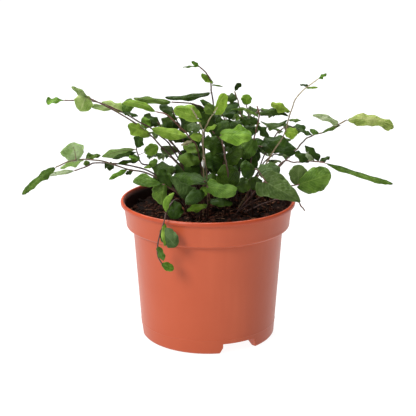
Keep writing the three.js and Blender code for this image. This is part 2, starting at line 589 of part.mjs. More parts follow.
function makeSoil(holes) {
  const sides = [
    [COLLAR_FOOT_RADIUS - WALL - GAP, COLLAR_FOOT_HEIGHT + 1.3],
    [WALL_TOP_RADIUS - WALL - GAP, WALL_TOP_HEIGHT + 1.2],
    [WALL_FOOT_RADIUS + 0.5 - WALL - GAP, FLOOR_HEIGHT + WALL + GAP],
  ];
  const points = [new THREE.Vector3(0, 0, soilHeight(0, 0))];
  const faces = [];
  const rings = [];
  for (let ring = 1; ring <= SOIL_RINGS; ring += 1) rings.push([(SOIL_RADIUS * ring) / SOIL_RINGS, null]);
  rings.push(...sides);
  for (const [radius, height] of rings) {
    for (let i = 0; i < SOIL_SIDES; i += 1) {
      const angle = (2 * Math.PI * i) / SOIL_SIDES;
      const [x, y] = [radius * Math.cos(angle), radius * Math.sin(angle)];
      points.push(new THREE.Vector3(x, y, height ?? soilHeight(x, y)));
    }
  }
  points.push(new THREE.Vector3(0, 0, sides.at(-1)[1]));
  const at = (ring, i) => 1 + ring * SOIL_SIDES + (i % SOIL_SIDES);
  for (let i = 0; i < SOIL_SIDES; i += 1) {
    faces.push([0, at(0, i), at(0, i + 1)]);
    for (let ring = 1; ring < rings.length; ring += 1) {
      faces.push([at(ring - 1, i), at(ring, i), at(ring, i + 1)]);
      faces.push([at(ring - 1, i), at(ring, i + 1), at(ring - 1, i + 1)]);
    }
    faces.push([at(rings.length - 1, i), points.length - 1, at(rings.length - 1, i + 1)]);
  }
  return holes.reduce((soil, hole) => soil.subtract(hole), solidFrom(geometryFrom(points, faces)));
}

// ---- plant ----

// The stem above the soil, with its first point on the soil
function stemCurve(route) {
  const [x, y] = route[0];
  const points = [[x, y, soilHeight(x, y)], ...route.slice(1)].map(vector);
  return new THREE.CatmullRomCurve3(points, false, 'catmullrom', 0.5);
}

// The stem with its root, which goes on below the soil in the direction in which the stem leaves it
function stemPath(curve) {
  const path = new THREE.CurvePath();
  path.add(new THREE.LineCurve3(rootLine(curve, 0).bottom, curve.getPoint(0)));
  path.add(curve);
  return path;
}

const stemSteps = (path) => Math.ceil(path.getLength() / STEM_STEP);

// The modelled stem is straight from step to step, so what grows on it starts from the nearest point of
// those lines.
function onStem(point, corners) {
  const spots = corners.slice(1).map((end, i) => {
    const line = new THREE.Line3(corners[i], end);
    return line.closestPointToPoint(point, true, new THREE.Vector3());
  });
  return spots.reduce((best, spot) => (spot.distanceTo(point) < best.distanceTo(point) ? spot : best));
}

// The relative width of one half of a leaflet
function halfShare(share, widths) {
  const last = PLACES.length - 1;
  if (share <= PLACES[0]) return widths[0];
  if (share >= PLACES[last]) return widths[last];
  const near = PLACES.findLastIndex((place) => place <= share);
  const part = (share - PLACES[near]) / (PLACES[near + 1] - PLACES[near]);
  return widths[near] + part * (widths[near + 1] - widths[near]);
}

// A leaflet's point at u along its midrib, 0 to 1, and v across it, -1 to 1, with the midrib's own normal
function leafletPoint(leaflet, u, v) {
  const { base, tip, width, face, shape, phase, twist } = leaflet;
  const axis = tip.clone().sub(base);
  const length = axis.length();
  axis.normalize();
  const flat = face.clone().addScaledVector(axis, -face.dot(axis)).normalize();
  const normal = flat.applyAxisAngle(axis, twist * (u - 0.5));
  const across = new THREE.Vector3().crossVectors(axis, normal);
  const share = Math.min(1, Math.max(0, (u - shape.start) / (1 - shape.start)));
  const outline = Math.sin(Math.PI * share ** shape.skew) ** shape.full;
  const cut = 1 - shape.notch * (1 - Math.abs(Math.sin(Math.PI * shape.teeth * share)));
  const side = halfShare(share, v < 0 ? shape.minus : shape.plus);
  const half = (width / 2) * outline * side * (shape.teeth ? cut : 1);
  const swing = Math.sin(2 * Math.PI * shape.ripples * share + phase + (v < 0 ? 2.2 : 0));
  const reach = length * (1 - shape.start);
  const rise = reach * 4 * share * (1 - share);
  const lift = shape.arch * rise + half * v * v * (shape.cup + shape.wave * swing);
  const back = shape.lobe * reach * Math.abs(v) * (1 - share) ** 2;
  const point = base.clone().addScaledVector(axis, u * length - back);
  point.addScaledVector(across, half * v + shape.bow * rise).addScaledVector(normal, lift);
  return { point, normal, across };
}

// The blade is a thin lens: both faces share the edge and are split into triangles alike.
function makeBlade(leaflet) {
  const { teeth, start } = leaflet.shape;
  const rows = leaflet.width < FINE_WIDTH && !teeth ? COARSE_ROWS : leaflet.shape.rows;
  const points = [leafletPoint(leaflet, 0, 0).point];
  const faces = [];
  const thick = Math.min(BLADE, 0.3 + leaflet.width / 10) / 2;
  const steps = [];
  for (let row = 1; row < rows; row += 1) {
    const share = teeth ? row / rows : (1 - Math.cos((Math.PI * row) / rows)) / 2;
    steps.push(start + share * (1 - start));
  }
  if (start > 0) {
    // A stalk widens to the blade, which it meets as a narrow bar.
    const { point, normal, across } = leafletPoint(leaflet, start, 0);
    points.push(point.clone().addScaledVector(across, -STALK_HALF));
    points.push(point.clone().addScaledVector(normal, thick));
    points.push(point.clone().addScaledVector(across, STALK_HALF));
    points.push(point.clone().addScaledVector(normal, -thick));
  }
  for (const u of steps) {
    const { point, normal } = leafletPoint(leaflet, u, 0);
    points.push(leafletPoint(leaflet, u, -1).point);
    points.push(point.clone().addScaledVector(normal, thick));
    points.push(leafletPoint(leaflet, u, 1).point);
    points.push(point.clone().addScaledVector(normal, -thick));
  }
  points.push(leafletPoint(leaflet, 1, 0).point);
  const rings = steps.length + (start > 0 ? 1 : 0);
  const last = points.length - 1;
  for (let side = 0; side < 4; side += 1) {
    const next = (side + 1) % 4;
    faces.push([0, 1 + next, 1 + side]);
    faces.push([last, last - 4 + side, last - 4 + next]);
    for (let ring = 0; ring < rings - 1; ring += 1) {
      const near = 1 + 4 * ring;
      const [a, b, c, d] = [near + side, near + next, near + 4 + next, near + 4 + side];
      // Every diagonal runs from the midrib out to the next step of the edge.
      if (side % 2 === 0) {
        faces.push([a, b, d], [b, c, d]);
      } else {
        faces.push([a, c, d], [a, b, c]);
      }
    }
  }
  return solidFrom(geometryFrom(points, faces));
}

// Points spread over a stem and over a leaflet, for keeping fronds clear of each other
function stemMarks(curve) {
  return curve.getSpacedPoints(Math.ceil(curve.getLength() / 2.5));
}

function leafletMarks(leaflet) {
  const marks = [];
  const steps = Math.max(3, Math.ceil(leaflet.base.distanceTo(leaflet.tip) / 3));
  const across = leaflet.width > 9 ? [-0.95, -0.5, 0, 0.5, 0.95] : [-0.9, 0, 0.9];
  for (let i = 1; i <= steps; i += 1) {
    for (const v of across) marks.push(leafletPoint(leaflet, (i - 0.25) / steps, v).point);
  }
  return marks;
}

function isClear(marks, others, clearance) {
  return marks.every((mark) => others.every((other) => mark.distanceToSquared(other) > clearance ** 2));
}

// Reads one leaflet of the list and bends it clear of the other fronds where it can.
function readLeaflet(row, frond, random, others) {
  const [along, x, y, z, width, faceX, faceY, faceZ, kind, changes] = row;
  const leaflet = { width, face: vector([faceX, faceY, faceZ]), shape: { ...SHAPES[kind], ...changes } };
  leaflet.phase = random() * 2 * Math.PI;
  leaflet.twist = (random() - 0.5) * 0.5;
  leaflet.base = onStem(frond.curve.getPoint(along), frond.corners);
  for (const bend of BENDS) {
    leaflet.tip = new THREE.Vector3(x, y + bend, z - BEND_DROP * bend);
    if (isClear(leafletMarks(leaflet), others, CLEARANCE)) return { leaflet, clear: true };
  }
  leaflet.tip = new THREE.Vector3(x, y, z);
  return { leaflet, clear: false };
}

// A frond of the crown, written as the traced ones are
function crownFrond([lean, reach, height, x, y], index) {
  const random = draws(CROWN_SEED + index);
  const angle = THREE.MathUtils.degToRad(lean);
  const out = [Math.cos(angle), Math.sin(angle)];
  const station = (share, z) => [x + out[0] * reach * share, y + out[1] * reach * share, z];
  const ground = soilHeight(x, y);
  const rise = height - ground;
  const droop = reach > 40 ? 0.06 * reach : 0;
  const route = [
    [x, y],
    station(0.2, ground + rise * 0.5),
    station(0.5, ground + rise * 0.88),
    station(0.8, height),
    station(1, height - droop),
  ];
  const curve = stemCurve(route);
  const length = curve.getLength();
  const count = Math.floor((length * (1 - CROWN_FIRST)) / CROWN_SPACING);
  const leaflets = [];
  for (let i = 0; i <= count; i += 1) {
    const along = CROWN_FIRST + (1 - CROWN_FIRST) * (i / count);
    const spot = curve.getPoint(along);
    const size = CROWN_LEAFLET + 3 * random() - 6 * along;
    const side = i === count ? 0 : 1 - 2 * (i % 2);
    const turn = angle + side * (1.05 + 0.4 * random());
    const lift = 0.15 + 0.5 * random() - 0.5 * along;
    leaflets.push([
      along,
      spot.x + Math.cos(turn) * size,
      spot.y + Math.sin(turn) * size,
      spot.z + lift * size,
      size * (0.8 + 0.15 * random()),
      0.7 * Math.cos(angle) + 0.6 * (random() - 0.5),
      0.7 * Math.sin(angle) - 0.35,
      0.9,
      random() < 0.7 ? 'crown' : 'oval',
    ]);
  }
  return { route, leaflets };
}

// Places every frond in turn. A crown leaflet with no clear place is left out, a traced one is kept.
function growPlant(twigStem) {
  const traced = Object.entries(FRONDS).map(([name, frond]) => ({ name, ...frond, kept: true }));
  const crown = Object.entries(CROWN).map(([name, row], i) => ({ name, ...crownFrond(row, i), kept: false }));
  const fronds = [...traced, ...crown];
  for (const frond of fronds) {
    frond.curve = stemCurve(frond.route);
    const path = stemPath(frond.curve);
    frond.corners = path.getSpacedPoints(stemSteps(path));
    frond.marks = stemMarks(frond.curve);
  }
  const twigMarks = stemMarks(twigStem.curve);
  fronds.forEach((frond, index) => {
    const random = draws(index + 1);
    const rest = fronds.filter((other) => other !== frond);
    const others = [...rest.flatMap((other) => other.marks), ...twigMarks];
    frond.leaflets = frond.leaflets
      .map((row) => readLeaflet(row, frond, random, others))
      .filter(({ clear }) => clear || frond.kept)
      .map(({ leaflet }) => leaflet);
    frond.marks = [...frond.marks, ...frond.leaflets.flatMap(leafletMarks)];
  });
  return fronds;
}

// The ends of a straight piece that runs from the bottom of the root to a little above the soil
function rootLine(curve, above) {
  const start = curve.getPoint(0);
  const heading = curve.getTangent(0);
  const bottom = start.clone().addScaledVector(heading, -ROOT_DEPTH);
  return { bottom, top: start.clone().addScaledVector(heading, above), heading };
}

function makeFrond({ curve, leaflets }) {
  const path = stemPath(curve);
  const stem = bar(path, STEM_RADIUS, STEM_SIDES, stemSteps(path));
  return leaflets.reduce((frond, leaflet) => {
    const axis = leaflet.tip.clone().sub(leaflet.base).normalize();
    const rooted = { ...leaflet, base: leaflet.base.clone().addScaledVector(axis, -SUNK) };
    return frond.add(makeBlade(rooted));
  }, stem);
}

function makeHole({ curve }) {
  const { bottom, top, heading } = rootLine(curve, 7);
  bottom.addScaledVector(heading, -GAP);
  return bar(new THREE.LineCurve3(bottom, top), HOLE_RADIUS, STEM_SIDES, 1);
}

// ---- assembly ----

function named(name, solid, color, roughness) {
  const material = new THREE.MeshStandardMaterial({ color, roughness, metalness: 0 });
  const mesh = new THREE.Mesh(geometryOf(solid), material);
  mesh.name = name;
  return mesh;
}

const twig = { curve: stemCurve(TWIG_ROUTE), leaflets: [] };
const plant = growPlant(twig);
const fern = new THREE.Group();
fern.add(named('pot', makePot(), 0xc4623f, 0.38));
fern.add(named('soil', makeSoil([...plant, twig].map(makeHole)), 0x2e1a13, 0.95));
for (const frond of plant) {
  fern.add(named(`frond_${frond.name}`, makeFrond(frond), 0x3f7a2c, 0.5));
}
fern.add(named('bare_twig', makeFrond(twig), 0x5a3a28, 0.7));

export default fern;
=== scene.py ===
# A button fern in a thin terracotta-coloured nursery pot, dressed for a studio photograph.
# Sizes are millimetres in the frame of the CAD model, and meshes are scaled to metres as they are made. Only
# the finishes and the studio are in metres.
# Every frond of the CAD model is grown again by the same rule, with finer blades, veins, stalks and hairs.

import math

import bpy
import numpy as np
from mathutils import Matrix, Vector


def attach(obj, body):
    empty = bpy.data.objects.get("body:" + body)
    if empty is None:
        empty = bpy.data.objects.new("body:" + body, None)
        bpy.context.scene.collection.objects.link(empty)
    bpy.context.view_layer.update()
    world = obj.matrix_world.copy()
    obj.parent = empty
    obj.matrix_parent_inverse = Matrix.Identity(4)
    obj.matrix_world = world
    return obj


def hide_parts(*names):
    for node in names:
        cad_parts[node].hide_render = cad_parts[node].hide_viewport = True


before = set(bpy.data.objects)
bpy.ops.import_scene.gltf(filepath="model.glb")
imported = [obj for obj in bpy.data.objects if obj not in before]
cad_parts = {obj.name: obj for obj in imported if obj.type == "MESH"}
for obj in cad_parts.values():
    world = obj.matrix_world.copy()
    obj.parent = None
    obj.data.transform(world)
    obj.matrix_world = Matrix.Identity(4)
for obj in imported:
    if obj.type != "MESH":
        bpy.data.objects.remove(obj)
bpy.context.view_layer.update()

MM = 0.001

# ---- sizes shared with the CAD model ----

POT_HEIGHT = 96
RIM_RADIUS = 60
LIP_HEIGHT = 3
LIP_WIDTH = 2.6
COLLAR_TOP_RADIUS = 57.9
COLLAR_FOOT_RADIUS = 56.2
COLLAR_FOOT_HEIGHT = 79
WALL_TOP_RADIUS = 51.6
WALL_TOP_HEIGHT = 76.8
WALL_FOOT_RADIUS = 46.5
WALL = 1.3
FLOOR_HEIGHT = 7
FOOT_OUTER_RADIUS = 45.7
FOOT_INNER_RADIUS = 42.2
FOOT_SLOPE_RADIUS = 37
NOTCH_COUNT = 3
NOTCH_CENTRE = -63
NOTCH_WIDTH = 36
NOTCH_DRAFT = 3.6
DRAIN_COUNT = 6
DRAIN_RADIUS = 3.5
DRAIN_CIRCLE = 26

SOIL_LEVEL = 87.6
SOIL_TILT = 0.035
ROOT_DEPTH = 9
BENDS = (0, 4, -4, 8, -8, 12, -12, 16)
BEND_DROP = 0.29
TIP_MATCH = 0.3

# How each kind of leaflet is cut and shaped, as in the CAD model but with a short bare stalk. skew moves the
# widest place to the tip when over 1, full squares the outline, lobe draws the base back in two lobes, cup
# lifts the edges, arch lifts the middle, bow bends the midrib sideways, wave and ripples bend the edge up and
# down, notch and teeth cut it, start is the share that is a bare stalk, plus and minus are the relative
# widths of the halves at PLACES.
PLACES = (0.1, 0.3, 0.5, 0.7, 0.9)
EVEN = (1, 1, 1, 1, 1)
PLAIN = dict(
    skew=1, full=0.5, lobe=0, cup=-0.26, arch=0.05, bow=0, wave=0.18, ripples=2, notch=0, teeth=0,
    start=0.04, plus=EVEN, minus=EVEN,
)
TOOTHED = dict(PLAIN, skew=0.85, full=0.4, wave=0.3, ripples=3, notch=0.22, teeth=5)
SHAPES = {
    "round": dict(PLAIN, lobe=0.1),
    "oval": dict(PLAIN, skew=0.95, full=0.62, arch=0.07),
    "small": dict(PLAIN, full=0.55),
    "crown": dict(PLAIN, lobe=0.1),
    "heart": dict(PLAIN, skew=0.6, full=0.66, lobe=0.26, cup=-0.16),
    "fan": dict(PLAIN, skew=1.7, full=0.6, cup=0.12, wave=0.18),
    "ribbon": dict(PLAIN, skew=0.9, full=0.42, cup=-0.26, wave=0.26, ripples=2.5),
    "toothed_flat": dict(TOOTHED, arch=0),
    "toothed_arched": dict(TOOTHED, arch=0.1),
}

# The fronds that the photograph shows: kind of stem, route from the soil to the tip, and leaflets, each as
# (share of the way along the stem, its tip x, y, z, its width, the way its upper face looks, its kind, its
# tone, and what differs from that kind, if anything).
FRONDS = {
    "left_high": ("wire", [
        (-2, 2), (-14, -6, 114), (-29, -12, 133), (-45, -18, 150), (-64, -24, 163.5), (-79.5, -28, 172)], [
        (0.97, -87.5, -30, 178.5, 4.5, -0.2, -0.6, 0.7, "oval", "light"),
        (0.99, -83, -25, 161.5, 12.5, 0.1, -0.9, 0.3, "round", "light", dict(lobe=0.15)),
        (0.78, -77, -19, 164, 5, 0, -0.7, 0.7, "oval", "light"),
        (0.51, -52.5, -22, 151.5, 9, 0, -0.8, 0.6, "oval", "bright", dict(skew=1.25, full=0.5)),
    ]),
    "left_back": ("wire", [
        (-3, 8), (-20, 2, 123), (-30, -4, 139), (-49, -10, 153.5), (-73, -14, 165.5), (-94, -16, 167)], [
        (1, -106, -18, 166.5, 7, 0, -0.5, 0.85, "fan", "fresh", dict(
            plus=(1, 1, 0.9, 0.8, 1.2), minus=(1, 1, 1, 1, 1.3))),
        (0.66, -70.5, -8, 164.5, 9, 0, -0.75, 0.65, "oval", "light", dict(
            plus=(1.5, 1.35, 1.1, 1, 0.9), minus=(0.4, 0.4, 0.4, 0.4, 0.5))),
        (0.67, -46, -14, 156, 3.5, 0, -0.5, 0.85, "oval", "dark"),
        (0.5, -14, -8, 141.5, 8.5, 0, -0.75, 0.65, "oval", "bright", dict(skew=1.1, full=0.5, bow=0.05)),
        (0.51, -43.5, -4, 153.5, 6.5, 0, -0.75, 0.65, "round", "fresh"),
        (0.66, -51, -6, 166.5, 8.5, 0, -0.75, 0.65, "oval", "mid"),
    ]),
    "left_inner": ("wire", [
        (2, 6), (-17, 2, 125), (-26, 0, 136), (-31, 0, 145), (-34, 0, 149)], [
        (0.9, -43, 2, 154, 9, 0, -0.5, 0.85, "round", "dark", dict(wave=0.3)),
        (0.76, -23.5, 2, 154.5, 9, 0, -0.5, 0.85, "round", "dark", dict(wave=0.3)),
    ]),
    "centre_left": ("red", [
        (-2, 4), (-5, -8, 121), (-8, -14, 136), (-16, -18, 147), (-26, -22, 158), (-33.5, -24, 161)], [
        (1, -55.5, -28, 167.5, 6, 0, -0.7, 0.7, "oval", "bright", dict(bow=0.08)),
        (0.46, -18, -14, 136.5, 3, 0, -0.7, 0.7, "small", "dry"),
        (0.33, -16, -10, 138, 9, 0.1, -0.6, 0.8, "round", "mid"),
        (0.24, -20, -12, 127, 10, 0, -0.8, 0.6, "round", "mid"),
        (0.19, -16, -6, 117, 11, 0, -0.9, 0.3, "round", "dark"),
    ]),
    "upper_dark": ("wire", [
        (6, 14), (7, 16, 126), (1, 14, 151), (-9, 12, 159), (-24.5, 10, 161)], [
        (1, -50.5, 8, 164, 6, 0, -0.6, 0.8, "ribbon", "mid", dict(bow=-0.03, wave=0.12)),
        (0.72, -8, 18, 149, 12, 0, -0.6, 0.8, "round", "dark"),
    ]),
    "young_right": ("hairy", [
        (0, -14), (-1, -24, 120), (-3.5, -32, 144), (0, -36, 156.5), (6, -38, 166.5)], [
        (0.96, 11, -38, 175.5, 8.5, -0.2, -0.9, 0.3, "round", "bright", dict(
            lobe=0.3, plus=(1.6, 1.35, 1.1, 1, 1), minus=(0.3, 0.4, 0.6, 0.8, 0.9))),
        (0.91, -1.5, -36, 168, 7.5, 0, -0.8, 0.6, "round", "mid"),
        (0.6, 5.5, -38, 155, 4, 0, -0.6, 0.8, "oval", "young"),
    ]),
    "young_left": ("hairy", [
        (-3, -14), (-3, -28, 126), (-3.5, -38, 150), (-7, -42, 160.5), (-10.5, -45, 167.5)], [
        (0.74, -21.5, -37, 164.5, 11, 0, -0.85, 0.55, "round", "bright", dict(
            lobe=0.25, plus=(1.9, 1.5, 1.25, 1.1, 1), minus=(0.7, 0.7, 0.65, 0.7, 0.8))),
        (0.56, -13.5, -36, 154.5, 8.5, 0, -0.6, 0.8, "round", "grey"),
        (0.48, -11.5, -40, 148, 6.5, 0, -0.9, 0.4, "oval", "bright", dict(
            plus=(0.6, 0.6, 0.6, 0.6, 0.6), minus=(1.2, 1.4, 1.2, 1, 0.8))),
    ]),
    "top": ("wire", [
        (4, 12), (5, 14, 127), (3.5, 12, 161), (2, 10, 169), (2, 9, 175), (-1, 8, 181), (-6, 6, 186)], [
        (0.99, -11, 5, 189.5, 3.5, 0, -0.7, 0.7, "oval", "fresh"),
        (1, -17, 5, 185.5, 2, 0, -0.4, 1, "small", "mid"),
        (0.69, -4.5, 8, 180.5, 5.5, 0, -0.6, 0.8, "round", "fresh", dict(lobe=0.4)),
        (0.61, 10, 8, 172, 2, 0, -0.4, 1, "small", "mid"),
        (0.44, -29, 6, 165, 5, 0, -0.7, 0.75, "ribbon", "dark", dict(bow=-0.085, wave=0.1, skew=0.75)),
    ]),
    "right_up": ("green", [
        (22, 10), (27, 8, 121), (24.5, 6, 144), (21.5, 6, 158), (18, 5, 169)], [
        (1, 22, 4, 175, 4.5, 0.5, -0.8, 0.2, "fan", "dark", dict(bow=-0.12)),
        (0.91, 12, 6, 164.5, 7.5, 0, -0.7, 0.6, "round", "dark"),
        (0.81, 11.5, 2, 158.5, 6.5, 0, -0.7, 0.7, "round", "grey"),
        (0.59, 18, 4, 153.5, 5.5, 0, -0.5, 0.8, "small", "mid"),
        (0.61, 29, 4, 146.5, 7.5, 0, -0.6, 0.8, "round", "dark"),
    ]),
    "right_thin": ("grey", [
        (27, 16), (30, 14, 127), (28, 12, 150), (26, 12, 159)], [
        (1, 26.5, 12, 166, 7.5, 0, -0.9, 0.4, "round", "bright"),
    ]),
    "centre_right": ("red", [
        (26, -4), (29, -8, 125), (31, -10, 141), (34, -10, 155), (32.5, -10, 162)], [
        (0.74, 15.5, -8, 159.5, 3, 0, -0.5, 0.8, "small", "mid", dict(bow=0.16)),
        (0.65, 28.5, -8, 154, 5.5, 0, -0.8, 0.6, "small", "dark"),
        (0.63, 41, -6, 140.5, 6.5, 0, -0.7, 0.7, "small", "dark"),
        (0.47, 22.5, -14, 128, 12, -0.2, -0.9, 0.3, "round", "mid"),
        (0.56, 23.5, -9, 147, 8.5, 0, -0.7, 0.6, "round", "dark"),
        (0.27, 27, -2, 114.5, 11.5, 0, -0.85, 0.4, "round", "dark"),
        (0.34, 34, -6, 123.5, 8, 0, -0.85, 0.4, "round", "dark"),
    ]),
    "right_high": ("hairy", [
        (21, 2), (40, -8, 124), (50.5, -14, 144), (54, -18, 159), (59, -22, 172), (71, -26, 183)], [
        (1, 76, -28, 186.5, 3.5, 0, -0.6, 0.8, "oval", "fresh"),
        (0.91, 59.5, -22, 178.5, 2.5, 0, -0.5, 1, "small", "dark"),
        (0.88, 71, -24, 177, 2.5, 0, -0.5, 1, "small", "bright"),
        (0.61, 41, -22, 166, 7, 0, -0.7, 0.7, "oval", "bright", dict(skew=1.2, full=0.5)),
        (0.57, 34, -24, 158.5, 5, 0, -0.8, 0.6, "oval", "dark", dict(bow=0.15)),
        (0.53, 34.5, -18, 153.5, 4.5, 0, -0.7, 0.7, "oval", "grey", dict(bow=-0.2, arch=-0.02)),
        (0.53, 61, -18, 154, 3.5, 0, -0.5, 1, "small", "mid"),
        (0.42, 59, -18, 145, 8, 0.2, -0.9, 0.4, "round", "bright"),
    ]),
    "right_mid": ("green", [
        (22, 0), (51, -4, 122), (60.5, -6, 133), (68, -8, 141), (79, -10, 145), (91.5, -14, 153.5)], [
        (1, 124, -8, 148, 10.5, 0, -0.7, 0.7, "toothed_arched", "light", dict(
            skew=1.05, full=0.28, notch=0.1, bow=-0.04)),
        (0.93, 69.5, -10, 156, 5.5, 0, -0.7, 0.8, "ribbon", "pale", dict(bow=0.07, skew=0.65, wave=0.1)),
        (0.74, 88, -12, 149.5, 4, 0, -0.4, 0.9, "oval", "mid"),
        (0.72, 68, -8, 146, 5.5, 0, -0.4, 0.9, "small", "mid"),
        (0.64, 59.5, -8, 146.5, 4.5, 0, -0.4, 0.9, "small", "grey"),
        (0.35, 37.5, 0, 137.5, 13.5, 0, -0.8, 0.6, "round", "dark", dict(
            wave=0.25, plus=(0.7, 0.85, 1, 1.05, 1.1), minus=(1.1, 0.95, 0.8, 0.8, 0.9))),
    ]),
    "right_low": ("red", [
        (19, -10), (48, -18, 124), (57, -22, 126.5), (67, -24, 128), (76, -26, 127.5)], [
        (1, 121.5, -30, 114, 5.5, 0, -0.6, 0.85, "toothed_flat", "mid", dict(
            notch=0.1, skew=1.1, full=0.34, bow=0.01, wave=0.12)),
        (0.84, 64.5, -26, 134, 6, 0, -0.7, 0.7, "fan", "pale"),
        (0.92, 80.5, -22, 130.5, 4, 0, -0.5, 0.9, "oval", "dark"),
        (0.92, 63.5, -24, 138.5, 7, 0, -0.6, 0.8, "oval", "dark", dict(
            plus=(1.8, 1.6, 1.2, 1, 0.9), minus=(0.4, 0.5, 0.6, 0.7, 0.8))),
        (0.74, 57.5, -23, 134, 7.5, 0, -0.6, 0.8, "round", "dark"),
    ]),
    "right_front_out": ("wire", [
        (18, -14), (41, -34, 110), (58.5, -44, 117.5)], [
        (1, 78.5, -48, 125.5, 17, 0.1, -0.95, 0.3, "round", "mid", dict(
            lobe=0.14, plus=(1.3, 1.15, 1, 0.95, 0.9), minus=(0.5, 0.7, 0.85, 0.95, 1))),
        (0.98, 58.5, -42, 130, 12, 0, -0.9, 0.4, "round", "grey"),
    ]),
    "right_front_in": ("wire", [
        (30, -22), (28, -32, 112), (27, -38, 123), (31, -42, 127), (35, -46, 123), (37, -48, 120)], [
        (1, 59, -54, 108.5, 20.5, 0, -0.95, 0.35, "heart", "grey", dict(
            plus=(1.1, 0.8, 0.6, 0.5, 0.45), minus=(1, 0.9, 0.85, 0.75, 0.75))),
        (0.68, 46.5, -40, 127.5, 12.5, 0, -0.7, 0.7, "round", "grey"),
        (0.56, 21, -46, 128, 12, 0, -0.9, 0.4, "round", "dark"),
        (0.26, 18, -36, 113, 10, 0, -0.9, 0.4, "round", "dark"),
        (0.29, 36, -30, 111, 9, 0, -0.9, 0.3, "round", "dark"),
    ]),
    "left_low": ("green", [
        (-5, -4), (-35, -16, 115), (-55, -22, 122.5),
        (-72, -28, 129.5), (-87.5, -30, 130), (-99, -32, 126)], [
        (1, -121.5, -36, 108.5, 6.5, 0, -0.7, 0.7, "toothed_flat", "mid", dict(
            notch=0.08, wave=0.12, bow=0.05, plus=(1.3, 1.1, 1, 1, 1))),
        (0.71, -97.5, -24, 123, 7.5, 0, 0.6, 0.8, "oval", "pale"),
        (0.78, -88.5, -26, 141, 16.5, 0, 0.8, 0.5, "round", "pale", dict(minus=(0.8, 0.9, 1, 0.9, 0.7))),
        (0.7, -70.5, -24, 132, 6.5, 0, -0.7, 0.7, "oval", "mid", dict(
            minus=(1.4, 1.5, 1.1, 0.9, 0.7), plus=(0.4, 0.5, 0.5, 0.5, 0.5))),
        (0.38, -65.5, -26, 116, 4, 0, -0.7, 0.7, "oval", "fresh"),
        (0.34, -55, -18, 118, 4.5, 0, -0.6, 0.8, "small", "dark"),
    ]),
    "left_low_back": ("wire", [
        (-6, 0), (-39, -6, 116), (-71, -12, 124), (-82, -14, 121.5), (-89, -16, 119.5)], [
        (1, -107, -18, 116.5, 4.5, 0, -0.6, 1, "oval", "pale"),
        (0.7, -82, -12, 125.5, 4.5, 0, -0.7, 0.7, "small", "mid"),
        (0.48, -63, -16, 121, 6.5, 0, -0.6, 0.8, "oval", "dark"),
    ]),
    "left_mid": ("wire", [
        (-8, 7), (-29, 0, 115), (-39, -4, 120), (-45, -6, 122), (-47, -8, 128), (-48, -10, 133)], [
        (1, -44.5, -12, 142, 9.5, 0, -0.6, 0.8, "fan", "dark", dict(wave=0.3)),
        (1, -71, -13, 128.5, 7, 0, 0.85, 0.4, "oval", "pale", dict(skew=1.2)),
        (0.91, -63.5, -17, 128, 4.5, 0, -0.5, 0.85, "small", "dark"),
        (0.77, -51.5, -19, 128.5, 6.5, 0, -0.8, 0.6, "round", "fresh"),
        (0.69, -60, -13, 123.5, 4.5, 0, -0.5, 0.9, "small", "dark"),
        (0.81, -33.5, -5, 133.5, 8, 0.1, -0.9, 0.4, "round", "bright", dict(start=0.42, lobe=0.2)),
        (0.44, -34, -8, 124.5, 5.5, 0, -0.8, 0.6, "small", "mid"),
        (0.4, -22, -6, 117, 10, 0, -0.6, 0.8, "oval", "dark"),
        (0.24, -38, -12, 113, 8, 0, -0.6, 0.8, "oval", "dark"),
        (0.37, -43, -10, 120, 3, 0, -0.6, 0.8, "small", "bright"),
    ]),
    "front_left": ("wire", [
        (-9.5, -22.5), (-17.5, -38, 107.5), (-28.5, -46, 118)], [
        (1, -48, -50, 120.5, 12, 0, -0.7, 0.7, "fan", "mid", dict(
            plus=(1, 1, 1, 1.05, 0.9), minus=(0.9, 0.8, 0.6, 0.5, 0.4))),
        (0.99, -30, -50, 105.5, 13, 0, -0.9, 0.3, "round", "mid", dict(
            plus=(1.3, 1.2, 1.1, 1, 0.8), minus=(0.5, 0.4, 0.4, 0.5, 0.6))),
        (0.4, -23.5, -49, 124, 23, -0.3, -0.85, 0.45, "round", "grey", dict(
            plus=(0.8, 1.09, 0.67, 0.37, 0.45), minus=(0.12, 0.1, 0.1, 0.12, 0.2))),
        (0.83, -31, -42, 127, 10, 0, -0.7, 0.7, "round", "dark"),
    ]),
    "front_centre": ("wire", [
        (-5, -20), (-3, -34, 107), (-2, -42, 117), (-2, -44, 120)], [
        (1, -11.5, -46, 122, 4, 0, -0.5, 1, "small", "grey"),
        (0.48, -14, -48, 105.5, 9, 0, -0.9, 0.4, "oval", "dark"),
        (0.6, -3.5, -45, 109.5, 5.5, 0, -0.8, 0.6, "small", "fresh"),
        (0.81, -22.5, -27, 120, 10.5, 0, -0.7, 0.7, "round", "dark"),
    ]),
    "front_low": ("wire", [
        (-1, -25), (0, -32, 100), (1, -42, 107.5), (-0.5, -50, 117.5)], [
        (0.99, 18, -57, 116.5, 11, 0, -0.85, 0.5, "round", "mid", dict(
            full=0.25, minus=(1.5, 0.75, 0.6, 0.7, 0.9), plus=(0.8, 1, 1, 1, 0.9))),
        (0.54, 16, -42, 104, 6, 0, -0.8, 0.6, "round", "dark"),
        (0.35, -13.5, -42, 99, 6, 0, -0.7, 0.7, "oval", "fresh"),
    ]),
    "front_hanging": ("wire", [
        (-12, -16), (-20, -36, 105), (-26, -52, 103), (-28, -57, 96),
        (-30.5, -59, 88.5), (-32.5, -59, 80.5), (-32, -58, 73), (-29.5, -58, 68)], [
        (0.33, -21.5, -54, 114.5, 4.5, 0.3, -0.9, 0.3, "oval", "bright", dict(bow=-0.17)),
        (0.2, -20, -50, 96, 10.5, 0, -0.95, 0.3, "round", "dark"),
        (0.43, -27.5, -61, 81, 5, 0.6, -0.8, 0.2, "oval", "bright"),
        (0.52, -20, -63, 81.5, 11, -0.2, -0.95, 0.2, "round", "grey"),
